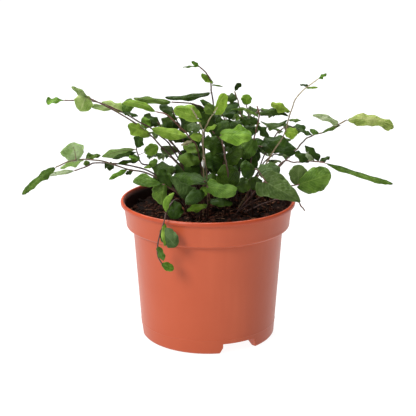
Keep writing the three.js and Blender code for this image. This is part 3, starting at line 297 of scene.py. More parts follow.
        (0.71, -28.5, -60, 71, 5, -0.4, -0.8, 0.3, "small", "mid"),
        (1, -22, -60, 65, 5.5, 0, -0.9, 0.3, "round", "fresh"),
    ]),
    "centre_front": ("wire", [
        (11, -20), (13, -42, 120), (10.5, -56, 139.5), (8, -66, 154.5)], [
        (1, 26.5, -74, 156, 14.5, 0, -0.8, 0.6, "round", "fresh", dict(
            minus=(1, 1.1, 1, 0.95, 0.85), plus=(0.7, 0.75, 0.8, 0.85, 0.9))),
        (0.22, 13, -48, 131, 15, 0, -0.85, 0.5, "round", "dark"),
    ]),
    "dark_front": ("wire", [
        (6, 0), (8, -6, 110), (11, -10, 125), (9, -12, 138), (3, -14, 146)], [
        (0.43, -2, -12, 129, 14, 0, -0.7, 0.7, "round", "dark"),
        (0.51, 22.5, -6, 131, 15, 0, -0.7, 0.7, "round", "dark"),
        (0.68, -2.5, -14, 140, 13.5, 0, -0.7, 0.7, "round", "dark"),
        (0.79, 20.5, -8, 143, 11.5, 0, -0.7, 0.7, "round", "dark"),
        (0.99, -3, -14, 159, 11, 0, -0.8, 0.5, "round", "dark"),
        (0.55, 3, -2, 115.5, 12.5, 0.2, -0.8, 0.5, "round", "dark"),
        (0.29, 19.5, -4, 119.5, 13, -0.2, -0.8, 0.5, "round", "dark"),
        (0.27, -3, -12, 108, 13, 0, -0.85, 0.4, "round", "dark"),
        (0.26, 19, -14, 108.5, 12, 0, -0.85, 0.4, "round", "dark"),
        (0.95, 14, -14, 152, 10, 0, -0.7, 0.6, "round", "dark"),
    ]),
    "dark_back": ("wire", [
        (10, 8), (10, 8, 114), (12, 8, 135), (11, 8, 150), (5, 8, 157)], [
        (0.62, 23, 8, 148, 11, 0, -0.7, 0.7, "round", "dark"),
        (0.7, -1, 10, 149, 12, 0, -0.7, 0.7, "round", "dark"),
        (0.81, 20, 6, 159, 9, 0, -0.7, 0.7, "round", "dark"),
        (1, -5, 4, 162, 8, 0, -0.7, 0.7, "round", "dark"),
        (0.41, 2, 12, 131, 12, 0, -0.7, 0.7, "round", "dark"),
        (0.49, 25, 14, 131.5, 12.5, 0.2, -0.7, 0.6, "round", "dark"),
        (0.54, 1.5, 6, 142, 11.5, -0.2, -0.7, 0.6, "round", "dark"),
        (0.35, 24.5, 10, 118, 13, 0.2, -0.7, 0.6, "round", "dark"),
        (0.3, -0.5, 14, 115, 14, 0, -0.8, 0.5, "round", "dark"),
        (0.26, 22, 8, 109.5, 13, 0, -0.8, 0.5, "round", "dark"),
    ]),
    "dark_left": ("wire", [
        (-4, 10), (-11, 8, 112), (-15, 8, 128), (-19, 8, 143), (-24, 8, 155)], [
        (0.78, -31, 8, 150, 9, 0, -0.7, 0.7, "round", "dark"),
        (0.72, -9, 10, 152, 12, 0, -0.7, 0.7, "round", "dark"),
        (0.99, -33, 12, 158.5, 7, 0, -0.7, 0.7, "round", "dark"),
        (0.41, -3, 12, 129, 13, 0, -0.7, 0.7, "round", "dark"),
        (0.3, -18, 12, 127, 10, 0, -0.7, 0.7, "round", "dark"),
        (0.48, -7.5, 14, 139, 11, 0.2, -0.7, 0.6, "round", "dark"),
        (0.33, -1.5, 4, 113.5, 12.5, 0.2, -0.7, 0.6, "round", "dark"),
        (0.26, -22.5, 10, 116.5, 11.5, 0, -0.8, 0.5, "round", "dark"),
        (0.25, -1, 6, 106.5, 11.5, 0, -0.8, 0.5, "round", "dark"),
        (0.61, -25.5, 12, 138.5, 7.5, -0.2, -0.7, 0.6, "round", "dark"),
    ]),
}

# The rest of the crown: lean direction in degrees, reach from the root, height of the arch, root x, root y
CROWN = {
    "inner_1": (340, 22, 132, 16, 8),
    "inner_2": (95, 18, 152, -2, 18),
    "inner_3": (70, 20, 142, 18, 14),
    "back_1": (66, 52, 146, 20, 20),
    "back_2": (88, 40, 142, 12, 26),
    "back_3": (114, 50, 146, 2, 22),
    "back_4": (134, 58, 136, -8, 18),
    "back_5": (48, 50, 136, 30, 19),
    "back_low_1": (76, 34, 114, 18, 32),
    "back_low_2": (108, 37, 112, 4, 32),
    "back_low_3": (130, 46, 114, -8, 26),
    "back_low_4": (54, 44, 114, 28, 26),
}
CROWN_FIRST = 0.36
CROWN_SPACING = 8.5
CROWN_LEAFLET = 15
CROWN_SEED = 40
CROWN_TONES = ("dark", "mid", "dark", "grey")

TWIG_ROUTE = [(24, -9), (45, -14, 98.6), (59, -16, 98.4), (63, -18, 95), (65, -19, 92.5)]

# ---- looks ----

# Upper faces of the leaflets, as sRGB of 255
TONES = {
    "dark": (48, 72, 16),
    "mid": (84, 114, 38),
    "grey": (78, 102, 50),
    "fresh": (104, 142, 42),
    "bright": (150, 184, 68),
    "light": (190, 208, 130),
    "pale": (202, 212, 164),
    "young": (156, 188, 66),
    "dry": (150, 136, 98),
}
# Stems: colour near the root, colour near the tip, radius near the root, radius at the tip, hairs for each
# millimetre
STEMS = {
    "wire": ((54, 32, 26), (92, 62, 46), 0.6, 0.44, 0.4),
    "red": ((74, 42, 34), (116, 74, 56), 0.58, 0.42, 0.8),
    "green": ((72, 50, 38), (108, 92, 60), 0.58, 0.44, 0.8),
    "grey": ((92, 84, 68), (134, 128, 104), 0.5, 0.36, 3),
    "hairy": ((124, 104, 78), (164, 152, 116), 0.46, 0.34, 7),
}


# ---- the growth rule ----

def draws(seed):
    """Repeatable random numbers from 0 to 1, the same as in the CAD model."""
    state = seed * 7919 + 17
    while True:
        state = (state * 1664525 + 1013904223) % 4294967296
        yield state / 4294967296


def soil_height(x, y):
    """The top of the potting mix; x and y may be arrays."""
    bumps = np.sin(x * 0.21 + 1) * np.cos(y * 0.17) + 0.5 * np.sin(x * 0.11 - y * 0.27)
    return SOIL_LEVEL + SOIL_TILT * x + 0.7 * bumps


class Stem:
    """A smooth curve through the points of a route, which starts on the soil."""

    def __init__(self, route):
        x, y = route[0]
        points = np.array([(x, y, float(soil_height(x, y)))] + [tuple(p) for p in route[1:]], float)
        before = 2 * points[0] - points[1]
        after = 2 * points[-1] - points[-2]
        self.knots = np.vstack([before, points, after])

    def at(self, t):
        """The point at t, or the points where t is an array, from 0 at the soil to 1 at the tip."""
        spans = len(self.knots) - 3
        place = np.atleast_1d(np.asarray(t, float)) * spans
        span = np.clip(np.floor(place).astype(int), 0, spans - 1)
        w = (place - span)[:, None]
        a, b, c, d = (self.knots[span + i] for i in range(4))
        start, end = 0.5 * (c - a), 0.5 * (d - b)
        points = (2 * w**3 - 3 * w**2 + 1) * b + (w**3 - 2 * w**2 + w) * start
        points += (3 * w**2 - 2 * w**3) * c + (w**3 - w**2) * end
        return points if np.ndim(t) else points[0]

    def length(self):
        """From the soil to the tip, in millimetres."""
        points = self.at(np.linspace(0, 1, 201))
        return float(np.linalg.norm(np.diff(points, axis=0), axis=1).sum())

    def heading(self):
        """The way it runs where it leaves the soil."""
        step = self.at(1e-4) - self.at(0)
        return step / np.linalg.norm(step)


def crown_frond(row, index):
    """A frond of the crown, written as the traced ones are."""
    lean, reach, height, x, y = row
    random = draws(CROWN_SEED + index)
    angle = math.radians(lean)
    out = (math.cos(angle), math.sin(angle))
    ground = float(soil_height(x, y))
    rise = height - ground
    droop = 0.06 * reach if reach > 40 else 0
    stations = ((0.2, ground + rise * 0.5), (0.5, ground + rise * 0.88), (0.8, height), (1, height - droop))
    route = [(x, y)] + [(x + out[0] * reach * share, y + out[1] * reach * share, z) for share, z in stations]
    stem = Stem(route)
    count = math.floor(stem.length() * (1 - CROWN_FIRST) / CROWN_SPACING)
    leaflets = []
    for i in range(count + 1):
        along = CROWN_FIRST + (1 - CROWN_FIRST) * i / count
        spot = stem.at(along)
        size = CROWN_LEAFLET + 3 * next(random) - 6 * along
        side = 0 if i == count else 1 - 2 * (i % 2)
        turn = angle + side * (1.05 + 0.4 * next(random))
        lift = 0.15 + 0.5 * next(random) - 0.5 * along
        tip = (spot[0] + math.cos(turn) * size, spot[1] + math.sin(turn) * size, spot[2] + lift * size)
        width = size * (0.8 + 0.15 * next(random))
        face = (0.7 * out[0] + 0.6 * (next(random) - 0.5), 0.7 * out[1] - 0.35, 0.9)
        kind = "crown" if next(random) < 0.7 else "oval"
        leaflets.append((along, *tip, width, *face, kind, CROWN_TONES[(i + index) % len(CROWN_TONES)]))
    return "wire", route, leaflets


def unit(vector):
    """The vector at length 1."""
    return vector / np.linalg.norm(vector)


def headings(points):
    """The way that a line through points runs at each of them."""
    ahead = np.gradient(points, axis=0)
    return ahead / np.linalg.norm(ahead, axis=1)[:, None]


def around(count):
    """That many angles, evenly round a full turn."""
    return 2 * math.pi * np.arange(count) / count


def read_leaflet(row, stem, random, corners):
    """A leaflet of the list, bent as the CAD model bends it, or None where the CAD model has none there."""
    along, x, y, z, width, *face, kind, tone = row[:10]
    leaflet = dict(SHAPES[kind], width=width, tone=tone, base=stem.at(along))
    for changes in row[10:]:
        leaflet.update(changes)
    leaflet["phase"] = next(random) * 2 * math.pi
    leaflet["twist"] = (next(random) - 0.5) * 0.5
    for bend in BENDS:
        tip = np.array((x, y + bend, z - BEND_DROP * bend))
        if np.linalg.norm(corners - tip, axis=1).min() < TIP_MATCH:
            break
    else:
        return None
    leaflet["tip"] = tip
    leaflet["axis"] = unit(tip - leaflet["base"])
    leaflet["length"] = float(np.linalg.norm(tip - leaflet["base"]))
    face = np.array(face, float)
    leaflet["normal"] = unit(face - leaflet["axis"] * face.dot(leaflet["axis"]))
    return leaflet


# ---- mesh making ----

class Form:
    """A mesh in the making: points with a colour and a place on their leaflet, and faces with a finish."""

    def __init__(self):
        self.points, self.colours, self.places = [], [], []
        self.faces, self.finishes = [], []
        self.count = 0

    def add(self, points, faces, finish, colour, places=None):
        """Faces are tuples of indices into points; colour is one colour or one for each point."""
        points = np.asarray(points, float)
        colour = np.broadcast_to(np.asarray(colour, float), (len(points), 3))
        self.points.append(points)
        self.colours.append(colour)
        self.places.append(np.zeros((len(points), 3)) if places is None else np.asarray(places, float))
        start = self.count
        self.faces.extend(tuple(start + i for i in face) for face in faces)
        self.finishes.extend([finish] * len(faces) if isinstance(finish, int) else finish)
        self.count += len(points)

    def build(self, name, materials):
        """The object that the form describes, in the scene."""
        mesh = bpy.data.meshes.new(name)
        mesh.from_pydata((np.vstack(self.points) * MM).tolist(), [], self.faces)
        colours = np.column_stack([np.vstack(self.colours), np.ones(self.count)])
        mesh.attributes.new("tone", "FLOAT_COLOR", "POINT").data.foreach_set("color", colours.ravel())
        places = np.vstack(self.places)
        mesh.attributes.new("place", "FLOAT_VECTOR", "POINT").data.foreach_set("vector", places.ravel())
        for material in materials:
            mesh.materials.append(material)
        mesh.polygons.foreach_set("material_index", self.finishes)
        mesh.polygons.foreach_set("use_smooth", [True] * len(mesh.polygons))
        mesh.validate()
        mesh.update()
        return show(name, mesh)


def show(name, mesh):
    """Puts a mesh in the scene as an object of that name."""
    piece = bpy.data.objects.new(name, mesh)
    bpy.context.scene.collection.objects.link(piece)
    return piece


def bare(name, points, faces):
    """An object in the scene with neither finish nor colour."""
    mesh = bpy.data.meshes.new(name)
    mesh.from_pydata((np.array(points) * MM).tolist(), [], faces)
    return show(name, mesh)


def linear(red, green, blue):
    """An sRGB colour of 255 as the linear one that shaders use."""
    shares = np.array((red, green, blue), float) / 255
    return np.where(shares <= 0.04045, shares / 12.92, ((shares + 0.055) / 1.055) ** 2.4)


def tube(form, points, radii, colours, finish, sides=8):
    """A closed tube through points, with rounded-off ends."""
    points = np.asarray(points, float)
    ahead = headings(points)
    side = unit(np.cross(ahead[0], (0.31, 0.95, 0.05)))
    rings, ring_colours = [], []
    angles = around(sides)
    for i, point in enumerate(points):
        side = unit(side - ahead[i] * side.dot(ahead[i]))
        up = np.cross(ahead[i], side)
        rings.append(point + radii[i] * (np.cos(angles)[:, None] * side + np.sin(angles)[:, None] * up))
        ring_colours.append(np.broadcast_to(colours[i], (sides, 3)))
    ends = [points[0] - ahead[0] * radii[0] * 0.6, points[-1] + ahead[-1] * radii[-1] * 0.6]
    last = len(points) * sides
    faces = []
    for j in range(sides):
        k = (j + 1) % sides
        for i in range(len(points) - 1):
            faces.append((i * sides + j, i * sides + k, (i + 1) * sides + k, (i + 1) * sides + j))
        faces.append((last, k, j))
        faces.append((last + 1, last - sides + j, last - sides + k))
    colours = np.vstack(ring_colours + [colours[:1], colours[-1:]])
    form.add(np.vstack(rings + [ends]), faces, finish, colours)


# ---- leaflets ----

UPPER, LOWER, STALK = range(3)
BLADE_ROWS = 24
BLADE_COLUMNS = 12
BLADE_THICKNESS = 0.42
FINE_TEETH = 13


def blade_points(leaflet, u, v, lift):
    """Points of a leaflet at u along it, 0 to 1, and v across it, -1 to 1, lifted off its middle by lift."""
    turn = leaflet["twist"] * (u - 0.5)
    axis = leaflet["axis"]
    flat = leaflet["normal"]
    phase = leaflet["phase"]
    normal = flat * np.cos(turn)[:, None] + np.cross(axis, flat) * np.sin(turn)[:, None]
    across = np.cross(axis, normal)
    start = leaflet["start"]
    share = np.clip((u - start) / (1 - start), 0, 1)
    outline = np.abs(np.sin(np.pi * share ** leaflet["skew"])) ** leaflet["full"]
    if leaflet["teeth"]:
        outline = outline * (1 - leaflet["notch"] * (1 - np.abs(np.sin(np.pi * leaflet["teeth"] * share))))
        outline = outline * (1 - 0.16 * np.abs(np.sin(np.pi * FINE_TEETH * share + phase)) ** 3)
    far = v < 0
    plus, minus = (np.interp(share, PLACES, leaflet[half]) for half in ("plus", "minus"))
    outline = outline * np.where(far, minus, plus)
    crimp = 0.055 * np.sin(15 * share + phase * 3 + 1.9 * far) + 0.03 * np.sin(31 * share + phase + 2 * far)
    half = leaflet["width"] / 2 * outline * (1 + crimp * np.abs(v))
    swing = np.sin(2 * np.pi * leaflet["ripples"] * share + phase + 2.2 * far)
    curl = 0.24 * np.sin(11 * share + 2 * phase + 2.5 * far) * v**4 - 0.1 * v**2
    length = leaflet["length"] * (1 - start)
    back = leaflet["lobe"] * length * np.abs(v) * (1 - share) ** 2
    rise = length * 4 * share * (1 - share)
    height = leaflet["arch"] * rise + half * (v * v * (leaflet["cup"] + leaflet["wave"] * swing) + curl)
    height += -0.2 * np.exp(-((half * v / 0.6) ** 2)) * np.sin(np.pi * share)
    height += 0.1 * half * np.sin(7 * share + 2 * phase) * np.sin(3.1 * v + phase) * (1 - v * v) + lift
    return (
        leaflet["base"]
        + axis * (u * leaflet["length"] - back)[:, None]
        + across * (half * v + leaflet["bow"] * rise)[:, None]
        + normal * height[:, None]
    )


def add_blade(form, leaflet, colour):
    """A thin lens with an upper and a lower face that share the margin."""
    rows = (1 - np.cos(np.pi * np.arange(1, BLADE_ROWS) / BLADE_ROWS)) / 2
    start = leaflet["start"]
    rows = start + (1 - start) * rows
    columns = np.sin(np.pi / 2 * np.linspace(-1, 1, BLADE_COLUMNS + 1))
    u, v = (grid.ravel() for grid in np.meshgrid(rows, columns, indexing="ij"))
    thick = BLADE_THICKNESS / 2 * np.sqrt(np.clip(1 - v * v, 0, 1))
    inner = np.abs(v) < 1 - 1e-9
    ends = blade_points(leaflet, np.array((start, 1.0)), np.zeros(2), np.zeros(2))
    top = blade_points(leaflet, u, v, thick)
    under = blade_points(leaflet, u, v, -thick)[inner]
    wide = BLADE_COLUMNS + 1
    upper = np.arange(len(u)).reshape(-1, wide)
    lower = upper.copy()
    lower[:, 1:-1] = len(u) + np.arange(inner.sum()).reshape(-1, wide - 2)
    first, last = len(u) + inner.sum(), len(u) + inner.sum() + 1
    faces, finishes = [], []
    for grid, finish in ((upper, UPPER), (lower, LOWER)):
        corners = (grid[:-1, :-1], grid[:-1, 1:], grid[1:, 1:], grid[1:, :-1])
        quads = np.stack(corners, axis=-1).reshape(-1, 4)
        near = np.column_stack([np.full(wide - 1, first), grid[0, 1:], grid[0, :-1]])
        far = np.column_stack([np.full(wide - 1, last), grid[-1, :-1], grid[-1, 1:]])
        for run in (quads, near, far):
            faces.extend(map(tuple, (run if finish == UPPER else run[:, ::-1]).tolist()))
        finishes.extend([finish] * (len(quads) + len(near) + len(far)))
    seed = leaflet["phase"]
    places = np.column_stack([(u - start) / (1 - start), v, np.full(len(u), seed)])
    places = np.vstack([places, places[inner], [(0, 0, seed), (1, 0, seed)]])
    form.add(np.vstack([top, under, ends]), faces, finishes, colour, places)


def add_stalk(form, leaflet, colour):
    """The leaflet's stalk, which runs on as a low ridge under its blade."""
    u = np.array((-0.01, 0.03, 0.07, 0.14, 0.25, 0.4, 0.58, 0.76))
    along = np.clip(u, 0, 1)
    sink = -0.2 + 0.2 * np.sin(np.pi * along) - 0.12 * np.clip(along / 0.1, 0, 1)
    points = blade_points(leaflet, along, np.zeros(len(u)), sink)
    points[0] = leaflet["base"] - 0.2 * leaflet["axis"]
    radii = np.interp(u, (0, 0.1, 0.8), (0.34, 0.24, 0.1)) * (0.6 + 0.04 * leaflet["width"])
    tube(form, points, radii, np.broadcast_to(colour, (len(u), 3)), STALK, sides=6)


# ---- stems ----

# A stem is made in steps of about this length, in no fewer than this number of them.
STEM_STEP = 1.6
STEM_STEPS = 12
HAIR_HALF_WIDTH = 0.06


def add_stem(form, stem, kind, random):
    """The stem with its root, thinner to the tip, a little crooked, with hairs where it is young."""
    root_colour, tip_colour, thick, thin, hairs = STEMS[kind]
    root_colour, tip_colour = linear(*root_colour), linear(*tip_colour)
    length = stem.length()
    t = np.linspace(0, 1, max(STEM_STEPS, round(length / STEM_STEP)))
    points = stem.at(t)
    wobble = random.normal(0, 1, (4, 3))
    for i, push in enumerate(wobble):
        points += 0.1 * push * np.sin((5 + 4 * i) * np.pi * t)[:, None] * np.sin(np.pi * t)[:, None]
    root = points[0] - stem.heading() * np.array([ROOT_DEPTH, ROOT_DEPTH / 2])[:, None]
    points = np.vstack([root, points])
    t = np.concatenate([[0, 0], t])
    radii = thick + (thin - thick) * t**0.8
    radii *= 1 + 0.06 * random.standard_normal(len(t))
    colours = root_colour + (tip_colour - root_colour) * (t**1.5)[:, None]
    colours = colours * (1 + 0.12 * random.standard_normal(len(t)))[:, None].clip(0.7, 1.3)
    tube(form, points, radii, colours, STALK)
    if hairs:
        add_hairs(form, points[2:], radii[2:], colours[2:], int(hairs * length), random)


def add_hairs(form, points, radii, colours, count, random):
    """Short scales that stand off the stem, each a thin tetrahedron."""
    ahead = headings(points)
    for _ in range(count):
        i = int(random.integers(0, len(points) - 1))
        w = random.random()
        spot = points[i] * (1 - w) + points[i + 1] * w
        out = unit(np.cross(ahead[i], random.normal(0, 1, 3)))
        side = np.cross(ahead[i], out)
        root = spot + out * radii[i] * 0.7
        lean = out * random.uniform(0.5, 1.1) + ahead[i] * random.uniform(-0.1, 0.6)
        tip = root + lean * random.uniform(0.35, 0.95)
        wide = HAIR_HALF_WIDTH
        corners = [root + side * wide, root - side * wide, root + ahead[i] * wide * 1.6, tip]
        faces = [(0, 1, 2), (0, 3, 1), (1, 3, 2), (2, 3, 0)]
        form.add(corners, faces, STALK, colours[i] * random.uniform(0.9, 1.5))


# ---- shader maths ----

class Signal:
    """A socket of a shader node; arithmetic on it adds Math nodes."""

    def __init__(self, finish, socket):
        self.finish = finish
        self.socket = socket

    def _math(self, operation, first, second):
        return self.finish.node("Math", {"operation": operation}, {0: first, 1: second})

    def __add__(self, other):
        return self._math("ADD", self, other)

    def __radd__(self, other):
        return self._math("ADD", other, self)

    def __sub__(self, other):
        return self._math("SUBTRACT", self, other)

    def __rsub__(self, other):
        return self._math("SUBTRACT", other, self)

    def __mul__(self, other):
        return self._math("MULTIPLY", self, other)

    def __rmul__(self, other):
        return self._math("MULTIPLY", other, self)

    def __pow__(self, other):
        return self._math("POWER", self, other)

    def apply(self, operation):
        """A Math operation that takes one value, such as a sine."""
        return self.finish.node("Math", {"operation": operation}, {0: self})


class Finish:
    """A material in the making."""

    def __init__(self, name):
        self.material = bpy.data.materials.new(name)
        self.material.use_nodes = True
        self.tree = self.material.node_tree
        self.tree.nodes.clear()

    def node(self, kind, settings=None, inputs=None, output=0):
        """Adds a node, with its settings first and then the values or links of its sockets."""
        node = self.tree.nodes.new("ShaderNode" + kind)
        for key, value in (settings or {}).items():
            setattr(node, key, value)
        for key, value in (inputs or {}).items():
            if isinstance(value, Signal):
                self.tree.links.new(value.socket, node.inputs[key])
            else:
                node.inputs[key].default_value = value
        return Signal(self, node.outputs[output])

    def attribute(self, name, output="Color"):
        """What the mesh holds under that name."""
        return self.node("Attribute", {"attribute_name": name}, output=output)

    def split(self, vector):
        """The x, y and z of a vector."""
        return [self.node("SeparateXYZ", inputs={0: vector}, output=i) for i in range(3)]

    def noise(self, scale, detail=3, roughness=0.55, stretch=None):
        """Noise over the object's own space; features are about 1 / scale metres."""
        where = self.node("TexCoord", output="Object")
        if stretch:
            where = self.node("Mapping", inputs={"Vector": where, "Scale": stretch})
        inputs = {"Vector": where, "Scale": scale, "Detail": detail, "Roughness": roughness}
        return self.node("TexNoise", inputs=inputs)

    def blend(self, factor, first, second):
        """A mix of two colours."""
        return self.node("Mix", {"data_type": "RGBA"}, {0: factor, 6: first, 7: second}, output=2)

    def tint(self, colour, strength):
        """A colour with each of its channels scaled."""
        return self.node("VectorMath", {"operation": "MULTIPLY"}, {0: colour, 1: strength})

    def ramp(self, factor, low, high):
        """0 below low, 1 above high and a smooth rise between, or a fall where high is the smaller."""
        settings = {"interpolation_type": "SMOOTHSTEP"}
        if low < high:
            return self.node("MapRange", settings, {0: factor, 1: low, 2: high})
        return self.node("MapRange", settings, {0: factor, 1: high, 2: low, 3: 1.0, 4: 0.0})

    def bump(self, height, distance, strength=1.0):
        """The normal of a surface with that height on it; distance is in metres."""
        return self.node("Bump", inputs={"Height": height, "Distance": distance, "Strength": strength})

    def gloss(self, colour, roughness, specular, normal):
        """The shader of a plain glossy or dull surface."""
        return self.node("BsdfPrincipled", inputs={
            "Base Color": colour,
            "Roughness": roughness,
            "Specular IOR Level": specular,
            "Normal": normal,
        })

    def surface(self, shader):
        """The finished material."""
        output = self.tree.nodes.new("ShaderNodeOutputMaterial")
        self.tree.links.new(shader.socket, output.inputs["Surface"])
        return self.material


def paint(red, green, blue):
    """An sRGB colour of 255 for a colour socket."""
    return (*linear(red, green, blue), 1.0)


def leaf_finish(name, under):
    """A leathery leaflet with slanting veins and a thin pale margin; its lower face is paler and duller, and
    painted shade darkens one half of it and its stalk end.
    """
    finish = Finish(name)
    tone = finish.attribute("tone")
    u, v, seed = finish.split(finish.attribute("place", "Vector"))
    across = v.apply("ABSOLUTE")
    mottle = finish.noise(230, detail=3)
    patch = finish.noise(110, detail=2)
    streaks = ((u * 9 - across * 4 + mottle * 1.6) * 6.28).apply("SINE")
    veins = finish.ramp(streaks, 0.4, 1.0) * finish.ramp(across, 0.98, 0.6)
    margin = finish.ramp(across, 0.9, 1.0)
    midrib = finish.ramp(across, 0.075, 0.0)
    colour = finish.blend(0.55, tone, paint(168, 190, 126)) if under else tone
    deep = finish.tint(colour, (0.34, 0.42, 0.28))
    pale = finish.tint(colour, (2.0, 1.7, 2.6))
    colour = finish.blend(finish.ramp(mottle, 0.4, 0.62) * 0.6, colour, deep)
    colour = finish.blend(finish.ramp(patch, 0.48, 0.64) * 0.4, colour, pale)
    # Painted shade: the leaflet darkens towards its stalk end.
    colour = finish.blend(finish.ramp(u, 0.4, 0.0) * 0.4, colour, deep)
    # Painted shade: one half of each leaflet, chosen by its seed, is darker, as if folded away from the
    # light.
    painted_shade_half = (seed * 3).apply("SINE").apply("SIGN")
    colour = finish.blend(finish.ramp(v * painted_shade_half, -0.15, 0.3) * 0.36, colour, deep)
    colour = finish.blend(veins * 0.25, colour, pale)
    colour = finish.blend(midrib * 0.5, colour, pale)
    colour = finish.blend(margin * 0.6, colour, pale)
    fine = finish.noise(1400, detail=2)
    height = veins * (0.2 if under else -0.2) + mottle * 1.6 + patch * 2.4 + fine * 0.15
    roughness = mottle * 0.2 + (0.55 if under else 0.34)
    gloss = finish.gloss(colour, roughness, 0.05 if under else 0.11, finish.bump(height, 0.0011))
    glow = finish.node("BsdfTranslucent", inputs={"Color": finish.blend(0.45, paint(132, 172, 36), tone)})
    share = finish.node("RGBToBW", inputs={0: tone}) * 0.9 + 0.04
    return finish.surface(finish.node("MixShader", inputs={0: share, 1: gloss, 2: glow}))


def stem_finish():
    """Wiry stems with a dull gloss and lengthwise grain."""
    finish = Finish("fern_stem")
    tone = finish.attribute("tone")
    grain = finish.noise(900, detail=3)
    colour = finish.blend(finish.ramp(grain, 0.4, 0.75) * 0.5, tone, paint(46, 28, 20))
    return finish.surface(finish.gloss(colour, grain * 0.3 + 0.35, 0.5, finish.bump(grain, 0.0003, 0.6)))


def pot_finish():
    """Thin moulded plastic, satin outside, dirty and darkened with painted shade within and on the lip's
    inner half.
    """
    finish = Finish("terracotta_plastic")
    x, y, z = finish.split(finish.node("TexCoord", output="Object"))
    radius = (x * x + y * y) ** 0.5
    # In metres: the lip is redder, the collar's inside is darkened by dirt and painted shade, and the lip's
    # inner half is darkened with painted shade.
    cloud = finish.noise(28, detail=4)
    streak = finish.noise(60, detail=4, stretch=(1.0, 1.0, 0.12))
    dust = finish.noise(700, detail=3)
    colour = finish.blend(finish.ramp(cloud, 0.3, 0.7) * 0.5, paint(177, 80, 49), paint(182, 85, 54))
    colour = finish.blend(finish.ramp(streak, 0.5, 0.8) * 0.2, colour, paint(204, 104, 68))
    lip = finish.ramp(z, 0.0928, 0.0934)
    colour = finish.blend(lip * 0.7, colour, paint(170, 66, 36))
    collar_inside = finish.ramp(radius - z * 0.09, 0.0488, 0.0484) * finish.ramp(z, 0.08, 0.0815)
    # Dirt and painted shade: the collar's inside is darkened to near black.
    dirt_and_shade = collar_inside * finish.ramp(z + dust * 0.004, 0.0985, 0.0955)
    # Painted shade on the inner half of the lip's top.
    painted_lip_shade = finish.ramp(radius + dust * 0.0012, 0.0592, 0.0586) * finish.ramp(z, 0.093, 0.0936)
    colour = finish.blend(dirt_and_shade, colour, paint(34, 14, 10))
    colour = finish.blend(painted_lip_shade * 0.8, colour, paint(62, 26, 18))
    roughness = streak * 0.12 + dust * 0.06 + 0.27
    normal = finish.bump(cloud * 3.0 + dust * 0.12, 0.0004, 0.35)
    return finish.surface(finish.gloss(colour, roughness, 0.28, normal))


def soil_finish():
    """Dark damp potting mix."""
    finish = Finish("potting_mix")
    tone = finish.attribute("tone")
    grit = finish.noise(900, detail=5, roughness=0.7)
    colour = finish.blend(finish.ramp(grit, 0.35, 0.7) * 0.7, tone, paint(16, 9, 6))
    return finish.surface(finish.gloss(colour, grit * 0.3 + 0.6, 0.05, finish.bump(grit, 0.0012, 0.9)))


# ---- pot ----

POT_SEGMENTS = 240
NOTCH_REACH = 70
NOTCH_STEPS = 9
DRAIN_SIDES = 24
DRAIN_SPAN = (5, 12)
# A fine ring that the mould leaves round the wall, at this height
MOULD_RING = 10
SHARP_ANGLE = 35


def rounded(corners, steps=5):
    """The points of an outline of (radius, height, fillet) corners, with each corner rounded off."""
    outline = []
    for i, (radius, height, fillet) in enumerate(corners):
        corner = np.array((radius, height), float)
        if not fillet:
            outline.append(corner)
            continue
        before = unit(np.array(corners[i - 1][:2], float) - corner) * fillet
        after = unit(np.array(corners[(i + 1) % len(corners)][:2], float) - corner) * fillet
        for w in np.linspace(0, 1, steps):
            outline.append(corner + before * (1 - w) ** 2 + after * w**2)
    return outline


def turned(name, outline):
    """A closed mesh of revolution. The outline starts and ends on the axis, or closes on itself."""
    outline = [np.asarray(point, float) for point in outline]
    closed = outline[0][0] > 0
    rings = outline if closed else outline[1:-1]
    segments = POT_SEGMENTS
    angles = 2 * math.pi * (np.arange(segments) + 0.5) / segments
    points = []
    for radius, height in rings:
        points.extend((radius * math.cos(a), radius * math.sin(a), height) for a in angles)
    faces = []
    count = len(rings)
    for i in range(count if closed else count - 1):
        near, far = i * segments, (i + 1) % count * segments
        for j in range(segments):
            k = (j + 1) % segments
            faces.append((near + j, near + k, far + k, far + j))
    if not closed:
        points.append((0, 0, outline[0][1]))
        points.append((0, 0, outline[-1][1]))
        for j in range(segments):
            k = (j + 1) % segments
            faces.append((len(points) - 2, k, j))
            faces.append((len(points) - 1, (count - 1) * segments + j, (count - 1) * segments + k))
    return bare(name, points, faces)


def prism(name, low, high):
    """A closed body between a lower and an upper ring of points."""
    count = len(low)
    faces = [tuple(range(count))[::-1], tuple(range(count, 2 * count))]
    faces += [(i, (i + 1) % count, count + (i + 1) % count, count + i) for i in range(count)]
    return bare(name, low + high, faces)


def sector(name, centre, width, low, high):
    """An upright prism over a slice of the circle, in degrees, whose flanks lean in up to the top."""
    rings = []
    for spread, z in ((width, low), (width - 2 * NOTCH_DRAFT, high)):
        angles = [math.radians(centre + spread * (w - 0.5)) for w in np.linspace(0, 1, NOTCH_STEPS)]
        arc = [(NOTCH_REACH * math.cos(a), NOTCH_REACH * math.sin(a), z) for a in angles]
        rings.append([(0.0, 0.0, z), *arc])
    return prism(name, *rings)


def sectors(name, width, high):
    """Such a prism at each notch of the foot."""
    turns = [NOTCH_CENTRE + i * 360 / NOTCH_COUNT for i in range(NOTCH_COUNT)]
    return [sector(f"{name}_{i}", turn, width, -1, high) for i, turn in enumerate(turns)]


def drill(name, x, y):
    """A short upright rod through the pot's floor."""
    circle = [(x + DRAIN_RADIUS * math.cos(a), y + DRAIN_RADIUS * math.sin(a)) for a in around(DRAIN_SIDES)]
    low, high = ([(*spot, z) for spot in circle] for z in DRAIN_SPAN)
    return prism(name, low, high)


def cut(piece, tools):
    """Takes the tools away from a piece, and removes them."""
    for tool in tools:
        modifier = piece.modifiers.new("cut", "BOOLEAN")
        modifier.operation = "DIFFERENCE"
        modifier.solver = "MANIFOLD"
        modifier.object = tool
    depsgraph = bpy.context.evaluated_depsgraph_get()
    mesh = bpy.data.meshes.new_from_object(piece.evaluated_get(depsgraph))
    piece.modifiers.clear()
    piece.data = mesh
    for tool in tools:
        bpy.data.objects.remove(tool)


